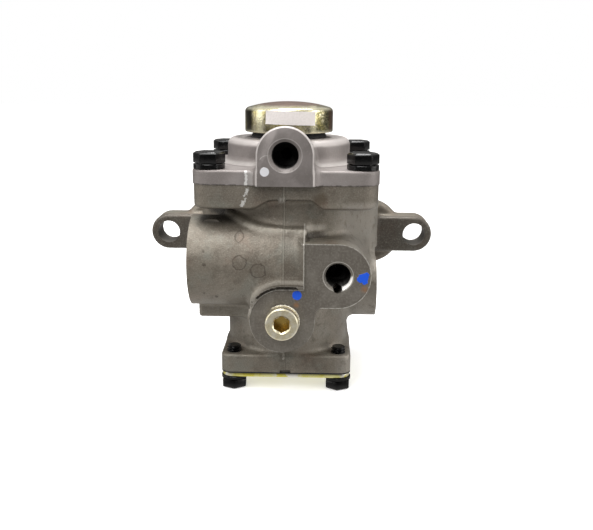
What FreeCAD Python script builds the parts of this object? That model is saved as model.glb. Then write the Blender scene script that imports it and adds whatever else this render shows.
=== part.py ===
import FreeCAD, Part
import math
import os

# Relay valve for a compressed air brake system, in millimetres.
# The origin is midway between the two mounting ears, on the face that bolts to the vehicle.
# X runs to the right along the ears, Y runs into that face, and Z is up along the valve's axis.

# Driving sizes: mounting ears
EAR_HOLE_SPACING = 150.8
EAR_HOLE_R = 6.75
EAR_TIP_R = 10.8
EAR_THICKNESS = 17.0
PAD_R = 19.5
PAD_SPACING = 96.2
PAD_THICKNESS = 12.0
PAD_Z = 0.2
EAR_FILLET_R = 2.0
BACK_RELIEF = 2.0
BACK_RELIEF_HALF = 61.0

# Driving sizes: body casting
AXIS_TO_FACE = 54.0
JOINT_Z = 40.8
BODY_HEIGHT = 103.8
FLANGE_HALF = 47.6
FLANGE_CORNER_R = 10.0
BODY_FLANGE_T = 7.2
LUG_DROP = 4.5
LUG_INNER = 12.5
BARREL_WALL = 7.5
NECK_R = 34.0
NECK_TOP_Z = -22.0
BARREL_LOW_Z = -8.0
FLANK_HALF = 51.0
FLANK_CORNER_R = 14.0
FLANK_LOW_Z = -9.0
FLANK_FRONT = 14.0
CAST_EDGE_R = 2.0

# Driving sizes: supply boss on the left
SUPPLY_BOSS_R = 24.0
SUPPLY_BOSS_END = 50.0
SUPPLY_BOSS_INNER_END = 9.7
SUPPLY_PROUD = 1.5
SUPPLY_Z = -2.0
SUPPLY_BORE_R = 11.9
SUPPLY_BORE_DEPTH = 26.0
LEDGE_OUTER = 48.0
LEDGE_LOW_Z = -34.5
LEDGE_BEHIND = 0.5
LEDGE_DEPTH = 25.0
SUPPLY_PASSAGE_R = 5.0

# Driving sizes: delivery ports and their bosses
PORT_BORE_R = 7.2
PORT_BORE_DEPTH = 20.0
PORT_CHAMFER = 1.1
PORT_BOSS_R = 16.8
PORT_FACE_PROUD = 2.4
FRONT_PORT_X = 27.2
FRONT_PORT_Z = -5.1
PLUG_PORT_X = -1.3
PLUG_PORT_Z = -29.2
SIDE_PORT_Z = -22.7
SIDE_PORT_END = 49.6
PORT_PASSAGE_R = 5.5
CROSS_HOLE_R = 2.4
CROSS_HOLE_INSET = 1.1
COLLAR_WIDTH = 4.6
COLLAR_PROUD = 1.7
INNER_CORNER_R = 4.0

# Driving sizes: cavities inside the body
PISTON_BORE_R = 31.0
PISTON_BORE_DEPTH = 27.8
WEB_T = 5.0
WEB_HOLE_R = 3.0
DELIVERY_R = 17.0
PARTITION_T = 6.0
SEAT_OPENING_R = 11.5
SEAT_LIP_W = 2.0
SEAT_LIP_H = 1.5
SUPPLY_CHAMBER_R = 22.0
SUPPLY_CHAMBER_H = 13.0
GUIDE_R = 25.0
GUIDE_H = 11.0

# Driving sizes: base flange, gasket and plate
BASE_HALF = 35.3
BASE_CORNER_R = 6.0
BASE_FLANGE_T = 10.0
GASKET_T = 0.8
GASKET_BAND = 13.1
PLATE_T = 2.2
PLATE_INSET = 0.5
BASE_NOTCH_W = 5.5
BASE_NOTCH_H = 1.6
BASE_SCREW_INSET = 6.8
EXHAUST_HOLE_R = 2.9
EXHAUST_HOLE_PITCH_R = 8.6
EXHAUST_HOLE_COUNT = 6

# Driving sizes: cover
COVER_FLANGE_T = 7.4
COVER_CORNER_R = 10.0
DOME_R = 33.5
DOME_HEIGHT = 13.3
DOME_WALL = 5.5
DOME_ROOF = 4.5
DOME_EDGE_R = 4.0
DOME_FOOT_R = 4.5
CONTROL_BOSS_R = 14.5
CONTROL_FACE_PROUD = 4.4
CONTROL_BOSS_BACK = 27.0
CONTROL_ABOVE_JOINT = 15.1
CONTROL_PASSAGE_R = 3.0
BOSS_SIDE_FILLET = 5.5
SPIGOT_R = 12.0
SPIGOT_H = 10.0

# Driving sizes: top cap, its rubber neck and the blank label
CAP_R = 24.0
CAP_T = 1.0
CAP_LIFT = 2.9
CAP_WALL_H = 13.4
CAP_DOME_H = 2.7
CAP_SHOULDER_R = 2.4
NECK_SEAL_R = 19.6
NECK_SEAL_FLARE = 1.0
NECK_SEAL_GRIP_H = 6.0
LABEL_W = 25.6
LABEL_H = 6.6
LABEL_T = 0.15
LABEL_LOW = 5.2
LABEL_SHIFT = 1.5
LABEL_TILT_DEG = 1.7

# Driving sizes: fasteners
COVER_SCREW_INSET = 8.7
COVER_SCREW_R = 4.7
COVER_SCREW_LENGTH = 20.0
COVER_HEAD_AF = 14.3
COVER_HEAD_H = 6.0
COVER_WASHER_R = 8.1
COVER_WASHER_T = 2.6
BASE_SCREW_R = 3.9
BASE_SCREW_TIP = 3.5
BASE_HEAD_AF = 12.7
BASE_HEAD_H = 5.4
BASE_HEAD_TURN_DEG = 30.0
BASE_WASHER_R = 7.0
BASE_WASHER_T = 2.0
HEAD_CHAMFER = 0.9
WASHER_SPLIT = 0.8
PLUG_HEAD_R = 8.6
PLUG_PROUD = 6.0
PLUG_ENGAGED = 12.0
PLUG_SOCKET_AF = 7.94
PLUG_SOCKET_DEPTH = 7.0
PLUG_CHAMFER = 0.8

# Driving sizes: relay piston and its spring
PISTON_HEAD_T = 8.0
PISTON_RIM_H = 2.5
PISTON_RIM_W = 4.0
PISTON_STEM_R = 8.0
PISTON_FOOT_R = 9.2
PISTON_FOOT_H = 3.0
PISTON_FOOT_LAND = 2.6
PISTON_UNDERCUT = 3.0
PISTON_RING_W = 3.4
PISTON_RING_D = 2.6
PISTON_SPRING_R = 13.5
PISTON_SPRING_WIRE = 1.6
PISTON_SPRING_TURNS = 4.0

# Driving sizes: inlet and exhaust valve, its guide and spring
VALVE_DISC_R = 14.2
VALVE_BORE_R = 5.0
VALVE_RUBBER_T = 2.6
VALVE_FLANGE_T = 2.0
VALVE_TUBE_R = 7.0
VALVE_SPRING_R = 11.2
VALVE_SPRING_WIRE = 1.5
VALVE_SPRING_TURNS = 3.5
SPRING_SEAT_T = 0.8
GUIDE_HUB_R = 9.2
GUIDE_POCKET_DEPTH = 6.5
GUIDE_VENT_R = 16.0
GUIDE_VENT_H = 3.0
GUIDE_RING_W = 2.8
GUIDE_RING_D = 2.2
STEM_RING_W = 2.2
STEM_RING_D = 1.6

# Driving sizes: exhaust flap
FLAP_R = 13.0
FLAP_T = 1.2
FLAP_WASHER_R = 5.0
FLAP_WASHER_T = 0.9
RIVET_R = 1.9
RIVET_HEAD_R = 3.4
RIVET_HEAD_H = 1.0

# Cover seal
COVER_SEAL_R = 36.0
COVER_SEAL_SECTION_R = 1.3

# Travel and clearances
VALVE_LIFT = 2.5
HUB_GAP = 1.8
STEM_FOOT_GAP = 1.5
EXHAUST_GAP = 1.5
REST_GAP = 0.2
STOP_GAP = 0.3
RUNNING_FIT = 0.05
SEAT_FIT = 0.05
HOLE_CLEARANCE = 0.4
THREAD_CLEARANCE = 0.1
RING_CLEARANCE = 0.1
OVERLAP = 1.0

# Heights worked out from the driving sizes
AXIS_Y = -AXIS_TO_FACE
BASE_Z = JOINT_Z - BODY_HEIGHT
BASE_TOP_Z = BASE_Z + BASE_FLANGE_T
FLANGE_LOW_Z = JOINT_Z - BODY_FLANGE_T
LUG_LOW_Z = FLANGE_LOW_Z - LUG_DROP
BARREL_R = PISTON_BORE_R + BARREL_WALL
WEB_TOP_Z = JOINT_Z - PISTON_BORE_DEPTH
WEB_LOW_Z = WEB_TOP_Z - WEB_T
GUIDE_TOP_Z = BASE_Z + GUIDE_H
CHAMBER_TOP_Z = GUIDE_TOP_Z + SUPPLY_CHAMBER_H
DELIVERY_LOW_Z = CHAMBER_TOP_Z + PARTITION_T
SEAT_Z = CHAMBER_TOP_Z - SEAT_LIP_H
DISC_TOP_Z = SEAT_Z - REST_GAP
DISC_LOW_Z = DISC_TOP_Z - VALVE_RUBBER_T
VALVE_FLANGE_LOW_Z = DISC_LOW_Z - VALVE_FLANGE_T
STEM_END_Z = DISC_TOP_Z + EXHAUST_GAP
PISTON_TOP_Z = JOINT_Z - STOP_GAP
PISTON_HEAD_TOP_Z = PISTON_TOP_Z - PISTON_RIM_H
PISTON_HEAD_LOW_Z = PISTON_HEAD_TOP_Z - PISTON_HEAD_T
COVER_TOP_Z = JOINT_Z + COVER_FLANGE_T
DOME_TOP_Z = COVER_TOP_Z + DOME_HEIGHT
CONTROL_Z = JOINT_Z + CONTROL_ABOVE_JOINT
CAP_LOW_Z = DOME_TOP_Z + CAP_LIFT
CAP_WALL_TOP_Z = CAP_LOW_Z + CAP_WALL_H
CAP_TOP_Z = CAP_WALL_TOP_Z + CAP_DOME_H
PLATE_TOP_Z = BASE_Z - GASKET_T
PLATE_LOW_Z = PLATE_TOP_Z - PLATE_T
POCKET_LOW_Z = GUIDE_TOP_Z - GUIDE_POCKET_DEPTH
HUB_TOP_Z = VALVE_FLANGE_LOW_Z - VALVE_LIFT - HUB_GAP
STEM_FOOT_Z = PLATE_TOP_Z + VALVE_LIFT + STEM_FOOT_GAP
COVER_HEAD_LOW_Z = COVER_TOP_Z + COVER_WASHER_T
BASE_HEAD_TOP_Z = PLATE_LOW_Z - BASE_WASHER_T
COVER_SCREW_HALF = FLANGE_HALF - COVER_SCREW_INSET
BASE_SCREW_HALF = BASE_HALF - BASE_SCREW_INSET
PORT_FACE = FLANGE_HALF + PORT_FACE_PROUD
SUPPLY_FORWARD = PORT_FACE + SUPPLY_PROUD - SUPPLY_BOSS_R
LEDGE_FRONT = SUPPLY_FORWARD - LEDGE_BEHIND
CONTROL_FACE = FLANGE_HALF + CONTROL_FACE_PROUD

UP = FreeCAD.Vector(0, 0, 1)
BACK = FreeCAD.Vector(0, 1, 0)
RIGHT = FreeCAD.Vector(1, 0, 0)


def point(x, y, z):
    """A point given from the valve's vertical axis, with y measured backwards from it."""
    return FreeCAD.Vector(x, AXIS_Y + y, z)


def post(radius, low, high, x=0.0, y=0.0):
    """An upright cylinder."""
    return Part.makeCylinder(radius, high - low, point(x, y, low), UP)


def rod_back(radius, x, z, front, back):
    """A cylinder along Y between two distances from the valve's axis."""
    return Part.makeCylinder(radius, back - front, point(x, front, z), BACK)


def rod_right(radius, y, z, left, right):
    """A cylinder along X."""
    return Part.makeCylinder(radius, right - left, point(left, y, z), RIGHT)


def drill(start, end, radius):
    """A straight drilled hole between two points."""
    return Part.makeCylinder(radius, (end - start).Length, start, end - start)


def block(left, right, front, back, low, high):
    """A box from its six limits, the front and back measured from the valve's axis."""
    return Part.makeBox(right - left, back - front, high - low, point(left, front, low))


def cone_back(radius_front, radius_back, x, z, front, back):
    """A cone along Y."""
    return Part.makeCone(radius_front, radius_back, back - front, point(x, front, z), BACK)


def turned(outline):
    """A solid of revolution about the valve's axis, from radius and height pairs."""
    corners = [FreeCAD.Vector(radius, AXIS_Y, height) for radius, height in outline]
    face = Part.Face(Part.makePolygon(corners + corners[:1]))
    return face.revolve(point(0, 0, 0), UP, 360)


def rounded_square(half, corner, low, high):
    """A square plate about the valve's axis with round vertical corners."""
    plate = block(-half, half, -half, half, low, high)
    upright = [edge for edge in plate.Edges if is_parallel(edge, UP)]
    return plate.makeFillet(corner, upright)


def is_parallel(edge, direction):
    """Whether an edge is a straight line along a direction."""
    if edge.Curve.TypeId != "Part::GeomLine":
        return False
    return abs(edge.Curve.Direction.dot(direction)) > 0.999


def is_circle(edge):
    """Whether an edge is round."""
    return not edge.Degenerated and edge.Curve.TypeId == "Part::GeomCircle"


def four_corners(half):
    """The four corners of a square bolt pattern."""
    return [(sx * half, sy * half) for sx in (-1, 1) for sy in (-1, 1)]


def ring_groove(outer, inner, low, high):
    """The ring that a groove leaves empty."""
    return post(outer, low, high).cut(post(inner, low, high))


def hexagon(across_flats, low, high, x, y, turn_deg):
    """An upright hexagonal prism."""
    across_corners = across_flats / math.cos(math.pi / 6)
    corners = []
    for index in range(7):
        angle = math.radians(60 * index + turn_deg)
        corners.append(point(x + across_corners / 2 * math.cos(angle),
                             y + across_corners / 2 * math.sin(angle), low))
    return Part.Face(Part.makePolygon(corners)).extrude(UP * (high - low))


def coil(radius, wire, low, high, turns):
    """A compression spring between two seats, its wire clear of neither."""
    height = high - low - wire
    helix = Part.makeHelix(height / turns, height, radius)
    helix.translate(point(0, 0, low + wire / 2))
    start = point(radius, 0, low + wire / 2)
    section = Part.Wire(Part.makeCircle(wire / 2, start, BACK))
    return Part.Wire(helix).makePipeShell([section], True, True)


def prism_back(outline_faces, front, back):
    """Flat faces in the XZ plane, joined and drawn out along Y."""
    solids = [face.extrude(BACK * (back - front)) for face in outline_faces]
    return solids[0].fuse(solids[1:]).removeSplitter()


def flat_disc(radius, x, z, front):
    """A round face looking along Y."""
    return Part.Face(Part.Wire(Part.makeCircle(radius, point(x, front, z), BACK)))


def flat_panel(left, right, low, high, front):
    """A rectangular face looking along Y."""
    corners = [point(left, front, low), point(right, front, low),
               point(right, front, high), point(left, front, high)]
    return Part.Face(Part.makePolygon(corners + corners[:1]))


def port_cut(x, z, face, depth):
    """A tapped port looking forwards, with its chamfered mouth."""
    bore = rod_back(PORT_BORE_R, x, z, -face - OVERLAP, -face + depth)
    mouth = cone_back(PORT_BORE_R + PORT_CHAMFER, PORT_BORE_R, x, z, -face, -face + PORT_CHAMFER)
    return bore.fuse(mouth)


# Body casting

def body_column():
    """The round barrel for the piston and the narrower neck below it, with the slope between."""
    return turned([(0, BASE_Z), (NECK_R, BASE_Z), (NECK_R, NECK_TOP_Z), (BARREL_R, BARREL_LOW_Z),
                   (BARREL_R, JOINT_Z), (0, JOINT_Z)])


def body_flange():
    """The square flange under the cover, thicker at its four corners."""
    flange = rounded_square(FLANGE_HALF, FLANGE_CORNER_R, LUG_LOW_Z, JOINT_Z)
    reach = FLANGE_HALF + OVERLAP
    across = block(-LUG_INNER, LUG_INNER, -reach, reach, LUG_LOW_Z - OVERLAP, FLANGE_LOW_Z)
    along = block(-reach, reach, -LUG_INNER, LUG_INNER, LUG_LOW_Z - OVERLAP, FLANGE_LOW_Z)
    return flange.cut([across, along])


def body_flanks():
    """The shoulders that widen from the barrel to the mounting face behind it."""
    centre_x = FLANK_HALF - FLANK_CORNER_R
    centre_y = FLANK_FRONT
    distance = math.hypot(centre_x, centre_y)
    lean = math.atan2(centre_y, centre_x) - math.acos((BARREL_R - FLANK_CORNER_R) / distance)
    normal_x = math.cos(lean)
    normal_y = math.sin(lean)
    half_lean = lean / 2
    back = AXIS_TO_FACE - PAD_THICKNESS + OVERLAP

    def spot(x, y):
        return point(x, y, FLANK_LOW_Z)

    near = (BARREL_R * normal_x, BARREL_R * normal_y)
    far = (centre_x + FLANK_CORNER_R * normal_x, centre_y + FLANK_CORNER_R * normal_y)
    middle = (centre_x + FLANK_CORNER_R * math.cos(half_lean),
              centre_y + FLANK_CORNER_R * math.sin(half_lean))
    edges = [
        Part.makeLine(spot(-near[0], near[1]), spot(near[0], near[1])),
        Part.makeLine(spot(near[0], near[1]), spot(far[0], far[1])),
        Part.Arc(spot(far[0], far[1]), spot(middle[0], middle[1]), spot(FLANK_HALF, centre_y)).toShape(),
        Part.makeLine(spot(FLANK_HALF, centre_y), spot(FLANK_HALF, back)),
        Part.makeLine(spot(FLANK_HALF, back), spot(-FLANK_HALF, back)),
        Part.makeLine(spot(-FLANK_HALF, back), spot(-FLANK_HALF, centre_y)),
        Part.Arc(spot(-FLANK_HALF, centre_y), spot(-middle[0], middle[1]),
                 spot(-far[0], far[1])).toShape(),
        Part.makeLine(spot(-far[0], far[1]), spot(-near[0], near[1])),
    ]
    outline = Part.Face(Part.Wire(edges))
    return outline.extrude(UP * (FLANGE_LOW_Z + OVERLAP - FLANK_LOW_Z))


def mounting_plate():
    """The plate behind the body. Its round pads stand back from the front of its drilled ears."""
    front = AXIS_TO_FACE - EAR_THICKNESS
    pad_front = AXIS_TO_FACE - PAD_THICKNESS
    pad_x = PAD_SPACING / 2
    ear_x = EAR_HOLE_SPACING / 2
    faces = [flat_panel(-pad_x, pad_x, PAD_Z - PAD_R, PAD_Z + PAD_R, front)]
    pads = [flat_panel(-pad_x, pad_x, PAD_Z - PAD_R, PAD_Z + PAD_R, pad_front)]
    for side in (-1, 1):
        pads.append(flat_disc(PAD_R, side * pad_x, PAD_Z, pad_front))
        inner = min(side * pad_x, side * ear_x)
        outer = max(side * pad_x, side * ear_x)
        faces.append(flat_panel(inner, outer, -EAR_TIP_R, EAR_TIP_R, front))
        faces.append(flat_disc(EAR_TIP_R, side * ear_x, 0, front))
    plate = prism_back(faces, front, AXIS_TO_FACE)
    plate = plate.fuse(prism_back(pads, pad_front, AXIS_TO_FACE)).removeSplitter()
    roots = [edge for edge in plate.Edges if is_parallel(edge, BACK) and is_ear_root(edge)]
    return plate.makeFillet(EAR_FILLET_R, roots)


def is_ear_root(edge):
    """Whether an edge lies in the corner between a pad and its ear."""
    x = abs(edge.CenterOfMass.x)
    z = abs(edge.CenterOfMass.z)
    return PAD_SPACING / 2 < x < EAR_HOLE_SPACING / 2 - OVERLAP and z < EAR_TIP_R + OVERLAP


def supply_boss():
    """The large round boss on the left, with the ledge under it that holds the supply passage."""
    boss = rod_right(SUPPLY_BOSS_R, -SUPPLY_FORWARD, SUPPLY_Z, -SUPPLY_BOSS_END, SUPPLY_BOSS_INNER_END)
    rims = [edge for edge in boss.Edges if is_circle(edge)]
    boss = boss.makeFillet(CAST_EDGE_R / 2, rims)
    ledge = block(-LEDGE_OUTER, 0, -LEDGE_FRONT, LEDGE_DEPTH - LEDGE_FRONT, LEDGE_LOW_Z, SUPPLY_Z)
    outer = [edge for edge in ledge.Edges
             if is_parallel(edge, UP) and edge.CenterOfMass.x < -LEDGE_OUTER + OVERLAP]
    return boss.fuse(ledge.makeFillet(CAST_EDGE_R, outer))


def front_port_bosses():
    """The two round bosses on the front with one machined face across both."""
    front = -PORT_FACE
    left = SUPPLY_BOSS_INNER_END
    corner_x = PLUG_PORT_X + PORT_BOSS_R
    faces = [
        flat_disc(PORT_BOSS_R, PLUG_PORT_X, PLUG_PORT_Z, front),
        flat_disc(PORT_BOSS_R, FRONT_PORT_X, FRONT_PORT_Z, front),
        flat_panel(left, FRONT_PORT_X, FRONT_PORT_Z - PORT_BOSS_R, FRONT_PORT_Z + PORT_BOSS_R, front),
        flat_panel(PLUG_PORT_X, corner_x, PLUG_PORT_Z, PLUG_PORT_Z + PORT_BOSS_R, front),
    ]
    bosses = prism_back(faces, front, 0)
    corner_z = FRONT_PORT_Z - PORT_BOSS_R
    inner = [edge for edge in bosses.Edges if is_parallel(edge, BACK)
             and abs(edge.CenterOfMass.x - corner_x) < 0.5
             and abs(edge.CenterOfMass.z - corner_z) < 0.5]
    return bosses.makeFillet(INNER_CORNER_R, inner)


def plug_collar():
    """The raised lip where the supply boss curls round the plugged port's face."""
    outer_r = PORT_BOSS_R + COLLAR_WIDTH
    front = -PORT_FACE - COLLAR_PROUD
    faces = [
        flat_disc(outer_r, PLUG_PORT_X, PLUG_PORT_Z, front),
        flat_panel(PLUG_PORT_X, SUPPLY_BOSS_INNER_END + outer_r, PLUG_PORT_Z,
                   PLUG_PORT_Z + outer_r, front),
    ]
    collar = prism_back(faces, front, -SUPPLY_FORWARD)
    rim = [edge for edge in collar.Edges if edge.BoundBox.YMax < AXIS_Y + front + 0.1
           and edge.BoundBox.ZMax > PLUG_PORT_Z + 1.0]
    collar = collar.makeFillet(COLLAR_WIDTH * 0.7, rim)
    keep = block(PLUG_PORT_X - outer_r, SUPPLY_BOSS_INNER_END, front, 0,
                 PLUG_PORT_Z + 2.0, PLUG_PORT_Z + outer_r)
    pocket = rod_back(PORT_BOSS_R, PLUG_PORT_X, PLUG_PORT_Z, front - OVERLAP, -PORT_FACE)
    pocket_side = block(PLUG_PORT_X, SUPPLY_BOSS_INNER_END, front - OVERLAP, -PORT_FACE,
                        PLUG_PORT_Z, PLUG_PORT_Z + PORT_BOSS_R)
    return collar.common(keep).cut([pocket, pocket_side])


def side_port_boss():
    """The round boss on the right."""
    boss = rod_right(PORT_BOSS_R, 0, SIDE_PORT_Z, 0, SIDE_PORT_END)
    rim = [edge for edge in boss.Edges if is_circle(edge) and edge.BoundBox.XMin > SIDE_PORT_END - OVERLAP]
    return boss.makeFillet(CAST_EDGE_R / 2, rim)


def base_flange():
    """The square flange at the foot, with the small notch at its lower front edge."""
    flange = rounded_square(BASE_HALF, BASE_CORNER_R, BASE_Z, BASE_TOP_Z)
    notch = block(-BASE_NOTCH_W / 2, BASE_NOTCH_W / 2, -BASE_HALF - OVERLAP, -BASE_HALF + OVERLAP,
                  BASE_Z - OVERLAP, BASE_Z + BASE_NOTCH_H)
    return flange.cut(notch)


def body_cavities():
    """The piston bore, the air chambers, the valve seat and the bore for the valve guide."""
    seat_ring = ring_groove(SEAT_OPENING_R + SEAT_LIP_W, SEAT_OPENING_R, SEAT_Z, CHAMBER_TOP_Z)
    chamber = post(SUPPLY_CHAMBER_R, GUIDE_TOP_Z - OVERLAP, CHAMBER_TOP_Z).cut(seat_ring)
    cuts = [
        post(PISTON_BORE_R, WEB_TOP_Z, JOINT_Z + OVERLAP),
        post(PISTON_STEM_R + RUNNING_FIT, WEB_LOW_Z - OVERLAP, WEB_TOP_Z + OVERLAP),
        post(DELIVERY_R, DELIVERY_LOW_Z, WEB_LOW_Z),
        post(SEAT_OPENING_R, SEAT_Z - OVERLAP, DELIVERY_LOW_Z + OVERLAP),
        chamber,
        post(GUIDE_R, BASE_Z - OVERLAP, GUIDE_TOP_Z),
    ]
    web_pitch = (PISTON_STEM_R + DELIVERY_R) / 2
    for index in range(4):
        angle = math.radians(90 * index + 45)
        cuts.append(post(WEB_HOLE_R, WEB_LOW_Z - OVERLAP, WEB_TOP_Z + OVERLAP,
                         web_pitch * math.cos(angle), web_pitch * math.sin(angle)))
    return cuts


def supply_cuts():
    """The supply port and the slanting passage from it to the chamber under the seat."""
    bore_end = -SUPPLY_BOSS_END + SUPPLY_BORE_DEPTH
    bore = rod_right(SUPPLY_BORE_R, -SUPPLY_FORWARD, SUPPLY_Z, -SUPPLY_BOSS_END - OVERLAP, bore_end)
    mouth = Part.makeCone(SUPPLY_BORE_R + PORT_CHAMFER, SUPPLY_BORE_R, PORT_CHAMFER,
                          point(-SUPPLY_BOSS_END, -SUPPLY_FORWARD, SUPPLY_Z), RIGHT)
    start = point(bore_end - SUPPLY_PASSAGE_R, -SUPPLY_FORWARD + SUPPLY_PASSAGE_R, SUPPLY_Z)
    end = point(-SUPPLY_CHAMBER_R * 0.72, -SUPPLY_CHAMBER_R * 0.4,
                CHAMBER_TOP_Z - SUPPLY_PASSAGE_R)
    return [bore, mouth, drill(start, end, SUPPLY_PASSAGE_R)]


def delivery_cuts():
    """The three delivery ports, their passages to the chamber and the slanting cross hole."""
    side_bore = rod_right(PORT_BORE_R, 0, SIDE_PORT_Z, SIDE_PORT_END - PORT_BORE_DEPTH,
                          SIDE_PORT_END + OVERLAP)
    side_mouth = Part.makeCone(PORT_BORE_R + PORT_CHAMFER, PORT_BORE_R, PORT_CHAMFER,
                               point(SIDE_PORT_END, 0, SIDE_PORT_Z), RIGHT * -1)
    side_passage = rod_right(PORT_PASSAGE_R, 0, SIDE_PORT_Z, 0, SIDE_PORT_END - PORT_BORE_DEPTH + OVERLAP)
    bore_back = -PORT_FACE + PORT_BORE_DEPTH
    plug_passage = drill(point(PLUG_PORT_X, bore_back - OVERLAP, PLUG_PORT_Z),
                         point(0, 0, max(PLUG_PORT_Z, DELIVERY_LOW_Z + PORT_PASSAGE_R)), PORT_PASSAGE_R)
    front_passage = drill(point(FRONT_PORT_X, bore_back - OVERLAP, FRONT_PORT_Z),
                          point(0, 0, FRONT_PORT_Z), PORT_PASSAGE_R)
    cross_start = point(FRONT_PORT_X, -PORT_FACE - OVERLAP, FRONT_PORT_Z - PORT_BORE_R + CROSS_HOLE_INSET)
    cross_end = point(SIDE_PORT_END / 2, 0, SIDE_PORT_Z)
    cross = drill(cross_start, cross_end, CROSS_HOLE_R)
    return [
        port_cut(FRONT_PORT_X, FRONT_PORT_Z, PORT_FACE, PORT_BORE_DEPTH),
        port_cut(PLUG_PORT_X, PLUG_PORT_Z, PORT_FACE, PORT_BORE_DEPTH),
        side_bore, side_mouth, side_passage, plug_passage, front_passage, cross,
    ]


def fastener_cuts():
    """The tapped holes for the cover screws and base screws, and the ear holes."""
    cuts = []
    for x, y in four_corners(COVER_SCREW_HALF):
        cuts.append(post(COVER_SCREW_R + THREAD_CLEARANCE, LUG_LOW_Z - OVERLAP, JOINT_Z + OVERLAP, x, y))
    for x, y in four_corners(BASE_SCREW_HALF):
        cuts.append(post(BASE_SCREW_R + THREAD_CLEARANCE, BASE_Z - OVERLAP, BASE_TOP_Z + OVERLAP, x, y))
    for side in (-1, 1):
        cuts.append(rod_back(EAR_HOLE_R, side * EAR_HOLE_SPACING / 2, 0,
                             AXIS_TO_FACE - EAR_THICKNESS - OVERLAP, AXIS_TO_FACE + OVERLAP))
    return cuts


def make_body():
    """The one-piece aluminium casting, with everything that is machined into it."""
    outside = body_column().fuse([
        body_flange(), body_flanks(), mounting_plate(), supply_boss(), front_port_bosses(),
        side_port_boss(), base_flange(),
    ])
    face_pocket = rod_back(PORT_BOSS_R, PLUG_PORT_X, PLUG_PORT_Z, -SUPPLY_FORWARD - SUPPLY_BOSS_R,
                           -PORT_FACE)
    outside = outside.cut(face_pocket).fuse(plug_collar())
    relief = block(-BACK_RELIEF_HALF, BACK_RELIEF_HALF, AXIS_TO_FACE - BACK_RELIEF,
                   AXIS_TO_FACE + OVERLAP, PAD_Z - PAD_R - OVERLAP, PAD_Z + PAD_R + OVERLAP)
    groove = ring_groove(COVER_SEAL_R + COVER_SEAL_SECTION_R + RING_CLEARANCE,
                         COVER_SEAL_R - COVER_SEAL_SECTION_R - RING_CLEARANCE,
                         JOINT_Z - 2 * COVER_SEAL_SECTION_R, JOINT_Z + OVERLAP)
    cuts = [relief, groove] + body_cavities() + supply_cuts() + delivery_cuts() + fastener_cuts()
    return outside.cut(cuts).removeSplitter()


# Cover

def cover_outside():
    """The flange, the round dome with its fillet, and the control port's arched boss."""
    flange = rounded_square(FLANGE_HALF, COVER_CORNER_R, JOINT_Z, COVER_TOP_Z)
    dome = post(DOME_R, JOINT_Z, DOME_TOP_Z)
    top = [edge for edge in dome.Edges if edge.BoundBox.ZMin > DOME_TOP_Z - 0.1]
    dome = dome.makeFillet(DOME_EDGE_R, top)
    foot = post(DOME_R + DOME_FOOT_R, COVER_TOP_Z - OVERLAP, COVER_TOP_Z + DOME_FOOT_R)
    hollow = Part.makeTorus(DOME_R + DOME_FOOT_R, DOME_FOOT_R,
                            point(0, 0, COVER_TOP_Z + DOME_FOOT_R), UP)
    spigot = post(SPIGOT_R, DOME_TOP_Z - OVERLAP, DOME_TOP_Z + SPIGOT_H)
    return flange.fuse([dome, foot.cut(hollow), spigot, control_boss()])


def control_boss():
    """The arched boss on the front of the cover, with hollow fillets down its two sides."""
    faces = [
        flat_disc(CONTROL_BOSS_R, 0, CONTROL_Z, -CONTROL_FACE),
        flat_panel(-CONTROL_BOSS_R, CONTROL_BOSS_R, JOINT_Z, CONTROL_Z, -CONTROL_FACE),
    ]
    boss = prism_back(faces, -CONTROL_FACE, -CONTROL_BOSS_BACK)
    reach = CONTROL_BOSS_R + BOSS_SIDE_FILLET
    web = block(-reach, reach, -CONTROL_FACE, -CONTROL_BOSS_BACK,
                JOINT_Z, COVER_TOP_Z)
    scoops = []
    for side in (-1, 1):
        scoops.append(post(BOSS_SIDE_FILLET, JOINT_Z - OVERLAP, COVER_TOP_Z + OVERLAP,
                           side * reach, -FLANGE_HALF - BOSS_SIDE_FILLET))
    return boss.fuse(web.cut(scoops))


def make_cover():
    """The cast cover, hollow under its dome, with the control port and the screw holes."""
    cavity = post(DOME_R - DOME_WALL, JOINT_Z - OVERLAP, DOME_TOP_Z - DOME_ROOF)
    passage_start = point(0, -CONTROL_FACE + PORT_BORE_DEPTH - OVERLAP, CONTROL_Z)
    passage_end = point(0, -DOME_R + DOME_WALL + OVERLAP,
                        DOME_TOP_Z - DOME_ROOF - CONTROL_PASSAGE_R)
    cuts = [
        cavity,
        port_cut(0, CONTROL_Z, CONTROL_FACE, PORT_BORE_DEPTH),
        drill(passage_start, passage_end, CONTROL_PASSAGE_R),
    ]
    for x, y in four_corners(COVER_SCREW_HALF):
        cuts.append(post(COVER_SCREW_R + HOLE_CLEARANCE, JOINT_Z - OVERLAP, COVER_TOP_Z + OVERLAP, x, y))
    return cover_outside().cut(cuts).removeSplitter()


def make_cover_seal():
    """The rubber ring in the groove between cover and body."""
    return Part.makeTorus(COVER_SEAL_R, COVER_SEAL_SECTION_R, point(0, 0, JOINT_Z - COVER_SEAL_SECTION_R), UP)


# Fasteners

def hex_head(across_flats, low, high, x, y, chamfer_high, turn_deg):
    """A hexagonal head whose outer corners are turned off at one end."""
    across_corners = across_flats / math.cos(math.pi / 6)
    prism = hexagon(across_flats, low, high, x, y, turn_deg)
    height = high - low
    rim = across_corners / 2
    slope_height = rim - across_flats / 2 + HEAD_CHAMFER
    if chamfer_high:
        cone = Part.makeCone(rim + height, rim - HEAD_CHAMFER, height + slope_height,
                             point(x, y, low - slope_height), UP)
    else:
        cone = Part.makeCone(rim - HEAD_CHAMFER, rim + height, height + slope_height,
                             point(x, y, low), UP)
    return prism.common(cone)


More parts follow.
